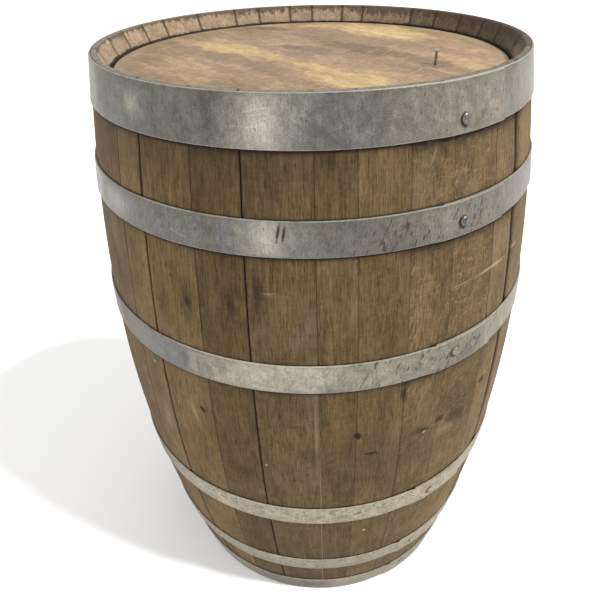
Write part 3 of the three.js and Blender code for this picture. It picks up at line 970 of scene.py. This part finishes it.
# Joints by azimuth in degrees: depth and width of the edges they have lost in millimetres, and how
# dark they are at the top and at the foot, below zero where rubbed edges leave a pale line.
JOINTS = {
    -63.2: (0.5, 1.3, 0.90, 0.90), -48.6: (0.3, 1.1, 0.80, 0.75), -40.1: (1.6, 2.4, 1.00, 1.00),
    -25.8: (0.4, 1.1, 0.85, 0.80), -14.6: (1.1, 1.8, 1.00, 1.00), 0.0: (0.1, 0.9, 0.75, -0.75),
    8.5: (0.2, 0.9, 0.65, 0.40), 19.8: (0.3, 1.0, 0.45, 0.95), 30.2: (0.1, 0.9, 0.50, 0.35),
    43.6: (0.2, 0.9, 0.60, 0.40), 53.3: (2.8, 9.0, 1.00, 1.00), 69.2: (0.4, 1.2, 0.80, 0.80),
}
OPEN_DARKNESS = 0.95
FOOT_SHARE, TOP_SHARE = 0.35, 0.75
# Azimuth of the staves whose inner chime wall is turned furthest from the key light, where the painted
# shade is deepest.
SHADED_AZIMUTH = math.radians(105)
GRAIN_SHIFT = 40
CHIME_JOINT = 2.0 * MM
TIGHTENED = 0.17 * MM
# Lightness, warmth and figure of the staves that face the front, by stave number. Their lightness is partly
# the wood's own and partly painted shade, lower on the staves straight in front.
FRONT_TONES_AND_SHADE = {
    1: (0.32, 0.70, 0.25), 2: (0.42, 0.75, 0.30), 3: (0.44, 0.70, 0.75), 4: (0.48, 0.75, 1.00),
    5: (0.70, 0.60, 0.85), 6: (0.73, 0.40, 0.50), 7: (0.58, 0.40, 0.40), 25: (0.50, 0.40, 0.30),
    26: (0.49, 0.50, 0.25), 27: (0.64, 0.55, 0.25), 28: (0.54, 0.90, 0.25), 29: (0.32, 0.95, 0.15),
    30: (0.33, 0.65, 0.25),
}
OUTER_FACE, CHIME_FACE, INSIDE_FACE = range(3)
OUTER_STEPS = 40
INSIDE_STEPS = 16
ACROSS_STEP = 8 * MM
LEAST_STEP = 1.2 * MM
END_INSET = 3 * MM
# Distances in millimetres of the rows of points beside each edge of a hoop.
ROWS_AT_HOOP = (-22, -12, -6.5, -4, -2, -0.5, 0.5, 2, 4, 8, 16)


def stave_heights():
    """Levels of the rows of points up a stave: even ones, and close ones beside each hoop."""
    heights = {HEIGHT * step / OUTER_STEPS for step in range(1, OUTER_STEPS)}
    for edges in HOOP_EDGES.values():
        heights.update(edge + offset * MM for edge in edges for offset in ROWS_AT_HOOP)
    levels = [END_INSET]
    for height in sorted(heights):
        if levels[-1] + LEAST_STEP < height < HEIGHT - END_INSET:
            levels.append(height)
    return levels + [HEIGHT - END_INSET]


def stave_end():
    """Section of the upper end, from the rim's outer corner down to the inside of the howel."""
    land = END_RADIUS - RIM_LAND
    bevel = (land - HOWEL_RADIUS) / BEVEL_DEPTH
    return [
        (END_RADIUS - 0.1 * MM, HEIGHT - RIM_ROUND),
        (END_RADIUS - 0.4 * MM, HEIGHT - 0.5 * MM),
        (END_RADIUS - RIM_ROUND, HEIGHT - 0.1 * MM),
        (land + RIM_ROUND, HEIGHT - 0.1 * MM),
        (land + 0.3 * MM, HEIGHT - 0.4 * MM),
        (land - bevel * RIM_ROUND, HEIGHT - RIM_ROUND),
        (land - bevel * 8 * MM, HEIGHT - 8 * MM),
        (land - bevel * 16 * MM, HEIGHT - 16 * MM),
        (HOWEL_RADIUS, HEIGHT - BEVEL_DEPTH),
        (HOWEL_RADIUS, HEIGHT - CROZE_TOP),
        (HOWEL_RADIUS + CROZE_CUT, HEIGHT - CROZE_TOP),
        (HOWEL_RADIUS + CROZE_CUT, HEIGHT - CROZE_BOTTOM),
        (HOWEL_RADIUS, HEIGHT - CROZE_BOTTOM),
        (HOWEL_RADIUS, HEIGHT - HOWEL_DEPTH),
    ]


def stave_section():
    """Closed section of a stave: radius, height and the face that each stretch belongs to."""
    section = [(outer_radius(height), height, OUTER_FACE) for height in stave_heights()]
    section += [(radius, height, CHIME_FACE) for radius, height in stave_end()]
    section[-1] = (*section[-1][:2], INSIDE_FACE)
    top, bottom = HEIGHT - HOWEL_DEPTH, HOWEL_DEPTH
    for step in range(1, INSIDE_STEPS):
        height = top + (bottom - top) * step / INSIDE_STEPS
        section.append((outer_radius(height) - STAVE_THICKNESS, height, INSIDE_FACE))
    section += [(radius, HEIGHT - height, CHIME_FACE) for radius, height in reversed(stave_end())]
    return section


def stave_columns(width):
    """Distances from one joint of a stave to the other, close together at both edges."""
    edges = [0.0, 0.35 * MM, 0.9 * MM, 1.8 * MM, 3.2 * MM, 6 * MM]
    inner = width - 2 * edges[-1]
    count = max(2, round(inner / ACROSS_STEP))
    middle = [edges[-1] + inner * step / count for step in range(1, count)]
    return edges + middle + [width - edge for edge in reversed(edges)]


def joint_at(azimuth, draw):
    """Depth and width of the edge lost at the joint at an azimuth, and how dark its two ends are."""
    for place, (depth, width, top_dark, foot_dark) in JOINTS.items():
        if abs(half_turn(azimuth - math.radians(place))) < math.radians(1.0):
            return depth * MM, width * MM, top_dark, foot_dark
    depth, width = draw.uniform(0.1, 0.8), draw.uniform(0.8, 1.8)
    return depth * MM, width * MM, draw.uniform(0.4, 1.0), draw.uniform(0.4, 1.0)


def joint_darkness(away, upward, edge):
    """How dark the wood is at a distance from a joint, and a share of the way from its foot to its top."""
    _, width, top_dark, foot_dark = edge
    return (foot_dark + (top_dark - foot_dark) * upward) * math.exp(-(away / (0.6 * width)) ** 2)


# The front staves take their listed lightness, which holds painted shade; the others take random values.
def stave_tone_and_shade(number, draw):
    if number in FRONT_TONES_AND_SHADE:
        return FRONT_TONES_AND_SHADE[number]
    return (draw.uniform(0.28, 0.62), draw.uniform(0.3, 0.65), draw.uniform(0.2, 0.8))


def shade_and_grime_by_hoops(height, azimuth):
    """How dark the painted shadow and staining beside the hoops make the wood, from 0 to 1: most just below
    one, and below its lap.
    """
    under_lap = smooth((1 - abs(half_turn(azimuth - LAP_MIDDLE)) / LAP_HALF) * 3)
    dark = 0.0
    for low, high in HOOP_EDGES.values():
        if height < low:
            gap = low - height
            reach = SHADE_BELOW_HOOPS + SHADE_UNDER_LAP * under_lap
            dark = max(dark, math.exp(-(gap / reach) ** 2) + 0.28 * math.exp(-gap / SHADE_FADE))
        elif height > high:
            reach = SHADE_ABOVE_UPPER if height > MIDDLE else SHADE_ABOVE_LOWER
            dark = max(dark, 0.95 * math.exp(-((height - high) / reach) ** 2))
        else:
            dark = 1.0
    return min(1.0, dark)


def edge_lost(edge, away, height, seed):
    """How much of a stave's rounded edge is gone at a distance from its joint, unevenly up its height."""
    depth, width, *_ = edge
    uneven = 1 + 0.5 * noise.noise(Vector((height * 23, seed, 0)))
    return depth * max(0.0, 1 - away / (width * uneven)) ** 1.5


def build_stave(name, section, number):
    draw = random.Random(f"stave {number}")
    first, last = stave_edges(name)
    edges = joint_at(first, draw), joint_at(last, draw)
    first -= (edges[0][2] < OPEN_DARKNESS) * TIGHTENED / HOWEL_RADIUS
    last += (edges[1][2] < OPEN_DARKNESS) * TIGHTENED / HOWEL_RADIUS
    bilge_width = (last - first) * BILGE_RADIUS
    sunk = draw.uniform(0.28, 0.45) * MM
    wander = draw.uniform(0, 100)
    columns = stave_columns(bilge_width)
    points = []
    for column in columns:
        angle = first + column / BILGE_RADIUS
        for radius, height, face in section:
            if face == OUTER_FACE:
                radius -= sunk
                for side, away in enumerate((column, bilge_width - column)):
                    radius -= edge_lost(edges[side], away, height, wander + side * 9)
            points.append(around(angle, radius, height))
    faces = skin(len(columns), len(section))
    slots = [face for _, _, face in section] * (len(columns) - 1) + [OUTER_FACE, OUTER_FACE]
    stave = make_piece(f"{name}_wood", points, faces, [WEATHERED_OAK, CHIME_OAK, INSIDE_OAK], slots)
    if name == "bung_stave":
        cut(stave, bung_hole_cutter())
    mark_stave(stave, first, last, edges, stave_tone_and_shade(number, draw), draw)
    settle(stave, "barrel", "weathered_oak", name)
    return stave


def mark_stave(stave, first, last, edges, tone_and_shade, draw):
    """Stores what the stave's materials need: grain, place on the barrel, dark joints, painted shadow and
    staining beside the hoops, and colours that hold painted shade.
    """
    middle = (first + last) / 2
    shift = Vector([draw.uniform(-GRAIN_SHIFT, GRAIN_SHIFT) for _ in range(3)])
    # Painted shade inside the chime: a darker wall and a deeper blackened band on the staves turned away
    # from the key light, with a random share on top.
    shaded = 0.5 + 0.5 * math.cos(half_turn(middle - SHADED_AZIMUTH))
    chime = (max(0.0, min(1.0, 1.05 - 1.15 * shaded ** 6 + draw.uniform(-0.15, 0.15))),
             draw.uniform(0.45, 0.9) + 0.9 * shaded ** 2, 0.0)
    grain, seam, hoop_shade_and_grime = [], [], []
    for vertex in stave.data.vertices:
        spot = vertex.co
        radius = math.hypot(spot.x, spot.y)
        turn = half_turn(azimuth_of(spot.x, spot.y) - middle)
        grain.append(Vector((turn * radius, outer_radius(spot.z) - radius, spot.z)) + shift)
        left = max((middle + turn - first) * radius, 0.0)
        right = max((last - middle - turn) * radius, 0.0)
        upward = smooth((spot.z - FOOT_SHARE * HEIGHT) / (TOP_SHARE * HEIGHT - FOOT_SHARE * HEIGHT))
        if outer_radius(spot.z) - radius > RIM_LAND / 2:
            seam.append(math.exp(-(min(left, right) / CHIME_JOINT) ** 2))
        else:
            seam.append(sum(joint_darkness(away, upward, edge) for away, edge in zip((left, right), edges)))
        hoop_shade_and_grime.append(shade_and_grime_by_hoops(spot.z, middle + turn))
    store(stave, "grain", grain)
    store(stave, "spot", [tuple(vertex.co) for vertex in stave.data.vertices])
    store(stave, "seam", seam)
    store(stave, "hoop_shade_and_grime", hoop_shade_and_grime)
    store(stave, "tone_and_shade", [tone_and_shade] * len(grain))
    store(stave, "chime_tone_and_shade", [chime] * len(grain))


def build_staves():
    section = stave_section()
    turn = 2 * math.pi
    by_azimuth = sorted(STAVES, key=lambda name: (sum(stave_edges(name)) / 2 + turn) % turn)
    for number, name in enumerate(by_azimuth, start=1):
        build_stave(name, section, number)


# ---------------------------------------------------------------- bung

BUNG_HOLE_RADIUS = 25 * MM
BUNG_TAPER = 1 / 16
BUNG_SLACK = 0.4 * MM
BUNG_PROUD = 11 * MM
BUNG_INSIDE = 4 * MM
BUNG_SEGMENTS = 72
BUNG_AZIMUTH = sum(stave_edges("bung_stave")) / 2


def bung_radius(out):
    return BUNG_HOLE_RADIUS + out * BUNG_TAPER


def bung_hole_cutter():
    inner, outer = -STAVE_THICKNESS - CUTTER_SPARE, CUTTER_SPARE
    outline = [(0, inner), (bung_radius(inner), inner), (bung_radius(outer), outer), (0, outer)]
    place = outward_place(BUNG_AZIMUTH, BILGE_RADIUS, MIDDLE)
    return turned_piece("bung_hole_cutter", outline, BUNG_SEGMENTS, place, BUNG_WOOD)


def build_bung():
    inner, outer = -STAVE_THICKNESS - BUNG_INSIDE, BUNG_PROUD
    wide, narrow = bung_radius(outer) - BUNG_SLACK, bung_radius(inner) - BUNG_SLACK
    outline = [
        (0, inner), (narrow - 2.2 * MM, inner), (narrow - 0.6 * MM, inner + 0.6 * MM),
        (narrow, inner + 2.2 * MM), (wide - 0.3 * MM, outer - 2.6 * MM),
        (wide - 0.8 * MM, outer - 1.2 * MM), (wide - 2.2 * MM, outer - 0.3 * MM),
        (wide - 6 * MM, outer - 0.1 * MM), (wide - 12 * MM, outer - 0.5 * MM), (0, outer - 0.8 * MM),
    ]
    place = outward_place(BUNG_AZIMUTH, BILGE_RADIUS, MIDDLE)
    bung = turned_piece("bung_plug", outline, BUNG_SEGMENTS, place, BUNG_WOOD)
    settle(bung, "bung", "bung_wood", "bung")


# ---------------------------------------------------------------- heads

HEAD_BOARD_WIDTHS = (104 * MM, 112 * MM, 118 * MM, 108 * MM, 106 * MM)
HEAD_TURN = math.radians(37 - 90)
HEAD_NECK_RADIUS = 267.5 * MM
HEAD_TONGUE_RADIUS = 273.4 * MM
HEAD_INSIDE_RADIUS = 250 * MM
TONGUE_THICKNESS = 5.2 * MM
BOARD_GAP = 0.12 * MM
ARC_STEPS = 26
NAIL_HOLE_RADIUS = 2.1 * MM


def head_levels():
    """Radius and depth below the face of each level of a head, from its face to its inside."""
    tongue_middle = (CROZE_TOP + CROZE_BOTTOM) / 2 - (HEIGHT - HEAD_FACE)
    top, bottom = tongue_middle - TONGUE_THICKNESS / 2, tongue_middle + TONGUE_THICKNESS / 2
    thickness = HEAD_FACE - HEAD_INSIDE
    return [
        (HEAD_FACE_RADIUS - 1.0 * MM, 0.0), (HEAD_FACE_RADIUS - 0.3 * MM, 0.25 * MM),
        (HEAD_FACE_RADIUS, 0.9 * MM), (HEAD_NECK_RADIUS, top), (HEAD_TONGUE_RADIUS, top),
        (HEAD_TONGUE_RADIUS, bottom), (HEAD_NECK_RADIUS, bottom), (HEAD_INSIDE_RADIUS, thickness),
    ]


def board_ring(radius, low, high):
    """Outline of one board where a head has this radius: up one side and down the other."""
    start = math.asin(max(-1.0, low / radius))
    stop = math.asin(min(1.0, high / radius))
    angles = [start + (stop - start) * step / ARC_STEPS for step in range(ARC_STEPS + 1)]
    right = [(radius * math.cos(angle), radius * math.sin(angle)) for angle in angles]
    return right + [(-x, y) for x, y in reversed(right)]


def nail_hole_cutter():
    spot = middle_of("sample_nail")
    place = Matrix.Translation((spot.x, spot.y, HEAD_INSIDE - CUTTER_SPARE))
    length = HEAD_FACE - HEAD_INSIDE + 2 * CUTTER_SPARE
    outline = [(0, 0), (NAIL_HOLE_RADIUS, 0), (NAIL_HOLE_RADIUS, length), (0, length)]
    return turned_piece("nail_hole_cutter", outline, 24, place, HEAD_OAK)


def build_board(head, index, low, high):
    """One head board, its length along the head's own X, then turned and put in its end of the barrel."""
    upper = head == "top_head"
    face, into = (HEAD_FACE, -1) if upper else (HEIGHT - HEAD_FACE, 1)
    flip = -into
    turn = Matrix.Rotation(HEAD_TURN * flip, 4, "Z")
    levels = head_levels()
    points = []
    for radius, depth in levels:
        for x, y in board_ring(radius, low + BOARD_GAP / 2, high - BOARD_GAP / 2):
            points.append(turn @ Vector((x, y * flip, face + into * depth)))
    ring = 2 * (ARC_STEPS + 1)
    faces = skin(len(levels), ring)[:-2]
    for level in (0, len(levels) - 1):
        for step in range(ARC_STEPS):
            near, far = level * ring + step, (level + 1) * ring - 1 - step
            faces.append((near, near + 1, far - 1, far))
    board = make_piece(f"{head}_board_{index}_wood", points, faces, [HEAD_OAK])
    nail_across = (turn.inverted() @ middle_of("sample_nail")).y
    if upper and low < nail_across < high:
        cut(board, nail_hole_cutter())
    mark_board(board, flip, index)
    settle(board, "barrel", "head_oak", f"{head}_board_{index}")


def mark_board(board, flip, index):
    """Stores the board's grain, which runs along it, and its place in plan."""
    unturn = Matrix.Rotation(-HEAD_TURN * flip, 3, "Z")
    shift = Vector((0.03 * index, 0.9 * index, 0.15 * index + 3 * flip))
    grain, plan = [], []
    for vertex in board.data.vertices:
        flat = unturn @ vertex.co
        grain.append(Vector((flat.y, flat.z, flat.x)) + shift)
        plan.append((vertex.co.x, 0.0, vertex.co.y))
    store(board, "grain", grain)
    store(board, "plan", plan)


def build_heads():
    for head in HEADS:
        low = -sum(HEAD_BOARD_WIDTHS) / 2
        for index, width in enumerate(HEAD_BOARD_WIDTHS, start=1):
            build_board(head, index, low, low + width)
            low += width


# ---------------------------------------------------------------- nail

NAIL_SHANK_RADIUS = 1.6 * MM
NAIL_HEAD_RADIUS = 3.8 * MM


def build_nail():
    low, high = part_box("sample_nail")
    length = high.z - low.z
    shank, wide = NAIL_SHANK_RADIUS, NAIL_HEAD_RADIUS
    outline = [
        (0, 0), (0.35 * MM, 0.6 * MM), (shank, 4 * MM), (shank, length - 2.4 * MM),
        (shank + 0.5 * MM, length - 1.5 * MM), (wide - 0.2 * MM, length - 1.3 * MM),
        (wide, length - 1.0 * MM), (wide - 0.1 * MM, length - 0.6 * MM),
        (wide - 0.7 * MM, length - 0.2 * MM), (1.6 * MM, length - 0.05 * MM), (0, length - 0.02 * MM),
    ]
    centre = middle_of("sample_nail")
    place = Matrix.Translation((centre.x, centre.y, low.z))
    nail = turned_piece("sample_nail_steel", outline, 40, place, NAIL_STEEL)
    settle(nail, "sample_nail", "nail_steel", "sample_nail")


# ---------------------------------------------------------------- hoops and rivets

HOOP_THICKNESS = 2 * MM
HOOP_STAND_OFF = 0.35 * MM
HOOP_STEP = math.radians(1.5)
LAP_BEFORE = math.radians(5.3)
LAP_AFTER = math.radians(7.0)
LAP_RISE = math.radians(3.0)
LAP_GAP = 0.15 * MM
HOOP_WAVE = 0.22 * MM
HOOP_ROUND = 0.5 * MM
ROUND_REACH = 0.9 * MM
HOOP_AGE = {"chime_hoop_top": 0.16, "quarter_hoop_top": 0.12, "bilge_hoop_top": 0.50,
            "bilge_hoop_bottom": 0.95, "quarter_hoop_bottom": 0.85, "chime_hoop_bottom": 0.65}
HOOP_NICKS = {"quarter_hoop_top": 0.8, "bilge_hoop_top": 1.0, "bilge_hoop_bottom": 0.4}
NICKED_MIDDLE = math.radians(26)
NICKED_HALF = math.radians(30)


def centre_azimuth(node):
    middle = middle_of(node)
    return azimuth_of(middle.x, middle.y)


def hoop_heights(low, high):
    """Levels across a hoop, with its edges rounded."""
    inner = [low + 0.5 * MM, low + 1.3 * MM, low + 3.5 * MM]
    count = max(3, round((high - low) / (8 * MM)))
    inner += [low + (high - low) * step / count for step in range(1, count)]
    return [low, *inner, high - 3.5 * MM, high - 1.3 * MM, high - 0.5 * MM, high]


def build_hoop(name):
    """A strip bent round the staves, its outer end lapped over its inner end and riveted."""
    low, high = HOOP_EDGES[name]
    first = centre_azimuth(f"{name}_rivet_1") - LAP_BEFORE
    lap = centre_azimuth(f"{name}_rivet_2") + LAP_AFTER - first
    whole = 2 * math.pi
    steps = round((whole + lap) / HOOP_STEP)
    levels = hoop_heights(low, high)
    seed = 10 * HOOPS.index(name)
    points, travels = [], []
    for step in range(steps + 1):
        travel = (whole + lap) * step / steps
        angle = first + travel
        lift = (HOOP_THICKNESS + LAP_GAP) * smooth((travel - whole + LAP_RISE) / LAP_RISE)
        inner_side, outer_side = [], []
        for height in levels:
            dented = noise.noise(Vector((5 * math.sin(angle), 5 * math.cos(angle), height * 30 + seed)))
            wave = HOOP_WAVE * dented
            edge = min(height - low, high - height)
            rounding = HOOP_ROUND * max(0.0, 1 - edge / ROUND_REACH) ** 2
            radius = outer_radius(height) + HOOP_STAND_OFF + lift + wave
            inner_side.append(around(angle, radius, height))
            outer_side.append(around(angle, radius + HOOP_THICKNESS - rounding, height))
        points += outer_side + inner_side[::-1]
        travels += [first + travel] * (2 * len(levels))
    faces = skin(steps + 1, 2 * len(levels))
    hoop = make_piece(f"{name}_steel", points, faces, [GALVANISED])
    mark_steel(hoop, name, travels)
    settle(hoop, "barrel", "galvanised_steel", name)


def mark_steel(piece, hoop, travels, marked=True):
    """Stores a steel piece's own surface place, and its wear: age, nicks, and how near its edge is.
    A piece that is not marked shows none of the marks at known places."""
    seed = 10 * HOOPS.index(hoop)
    low, high = HOOP_EDGES[hoop]
    grain, spots, wear = [], [], []
    for vertex, travel in zip(piece.data.vertices, travels):
        spot = vertex.co
        angle = azimuth_of(spot.x, spot.y)
        nicked = smooth(1.4 * (1 - abs(half_turn(angle - NICKED_MIDDLE)) / NICKED_HALF))
        inward = min(spot.z - low, high - spot.z)
        edge = 1.0 if inward < 0.7 * MM else -math.exp(-inward / (5 * MM))
        grain.append((travel * BILGE_RADIUS + seed, math.hypot(spot.x, spot.y), spot.z))
        spots.append(tuple(spot) if marked else (0.0, BILGE_RADIUS, -HEIGHT))
        wear.append((HOOP_AGE[hoop], HOOP_NICKS.get(hoop, 0.1) * (0.15 + 0.85 * nicked), edge))
    store(piece, "grain", grain)
    store(piece, "spot", spots)
    store(piece, "wear", wear)


RIVET_RADIUS = 6.2 * MM
RIVET_SHANK = 2.9 * MM
RIVET_DEPTH = 3.8 * MM
BEATEN_FLAT = 0.3


def build_rivet(hoop, index):
    """A hammered rivet head. The first stands proud and the second is beaten nearly flat."""
    node = f"{hoop}_rivet_{index}"
    low, high = HOOP_EDGES[hoop]
    spot = middle_of(node)
    lean = math.atan((outer_radius(low) - outer_radius(high)) / (high - low))
    proud = 1.0 if index == 1 else BEATEN_FLAT
    face = outer_radius(spot.z) + HOOP_STAND_OFF + 2 * HOOP_THICKNESS + LAP_GAP
    outline = [
        (0, -RIVET_DEPTH), (RIVET_SHANK, -RIVET_DEPTH), (RIVET_SHANK, -0.3 * MM),
        (RIVET_RADIUS - 0.3 * MM, -0.3 * MM),
        (RIVET_RADIUS, 0.6 * MM * proud), (RIVET_RADIUS - 0.7 * MM, 1.7 * MM * proud),
        (RIVET_RADIUS - 2.0 * MM, 2.3 * MM * proud), (RIVET_RADIUS - 3.6 * MM, 2.5 * MM * proud),
        (0, 2.45 * MM * proud),
    ]
    place = outward_place(azimuth_of(spot.x, spot.y), face, spot.z, lean)
    rivet = turned_piece(f"{node}_head", outline, 36, place, GALVANISED)
    travels = [half_turn(azimuth_of(vertex.co.x, vertex.co.y)) for vertex in rivet.data.vertices]
    mark_steel(rivet, hoop, travels, marked=index == 2)
    settle(rivet, "barrel", "rivet_steel", node)


def build_hoops():
    for name in HOOPS:
        build_hoop(name)
        for index in (1, 2):
            build_rivet(name, index)


# ---------------------------------------------------------------- floor and light

FLOOR_REACH = 30.0


def build_floor():
    material, *_ = new_material("pale_floor", Base_Color=(0.87, 0.87, 0.87, 1.0), Roughness=0.9,
                                Specular_IOR_Level=0.1)
    mesh = bpy.data.meshes.new("floor")
    corners = [(FLOOR_REACH * x, FLOOR_REACH * y, 0) for x, y in ((-1, -1), (1, -1), (1, 1), (-1, 1))]
    mesh.from_pydata(corners, [], [(0, 1, 2, 3)])
    mesh.materials.append(material)
    place_object("floor", mesh)


def add_light(name, kind, azimuth, elevation, distance, power, colour, **settings):
    """A light that faces the middle of the barrel, from an azimuth and elevation in degrees."""
    data = bpy.data.lights.new(name, kind)
    data.energy = power
    data.color = colour
    for key, value in settings.items():
        setattr(data, key, value)
    light = place_object(name, data)
    tilt = math.radians(elevation)
    away = around(math.radians(azimuth), math.cos(tilt) * distance, math.sin(tilt) * distance)
    faced = away.to_track_quat("Z", "Y").to_matrix().to_4x4()
    light.matrix_world = Matrix.Translation(Vector((0, 0, MIDDLE)) + away) @ faced


def light_studio():
    world = bpy.data.worlds.new("studio")
    bpy.context.scene.world = world
    world.use_nodes = True
    background = world.node_tree.nodes["Background"]
    background.inputs["Color"].default_value = (1.0, 0.997, 0.99, 1.0)
    background.inputs["Strength"].default_value = 1.0
    add_light("key_right", "SUN", 67, 50, 4.0, 3.0, (1.0, 0.975, 0.935), angle=math.radians(5))
    add_light("strip_front", "AREA", -21, 4, 2.4, 12, (1.0, 0.99, 0.97),
              shape="RECTANGLE", size=0.42, size_y=1.9)
    add_light("top_back", "AREA", 170, 62, 2.6, 8, (1.0, 0.98, 0.95),
              shape="RECTANGLE", size=1.4, size_y=1.0)


bpy.context.scene.view_settings.view_transform = "Standard"
add_camera()
build_staves()
build_bung()
build_heads()
build_nail()
build_hoops()
build_floor()
light_studio()
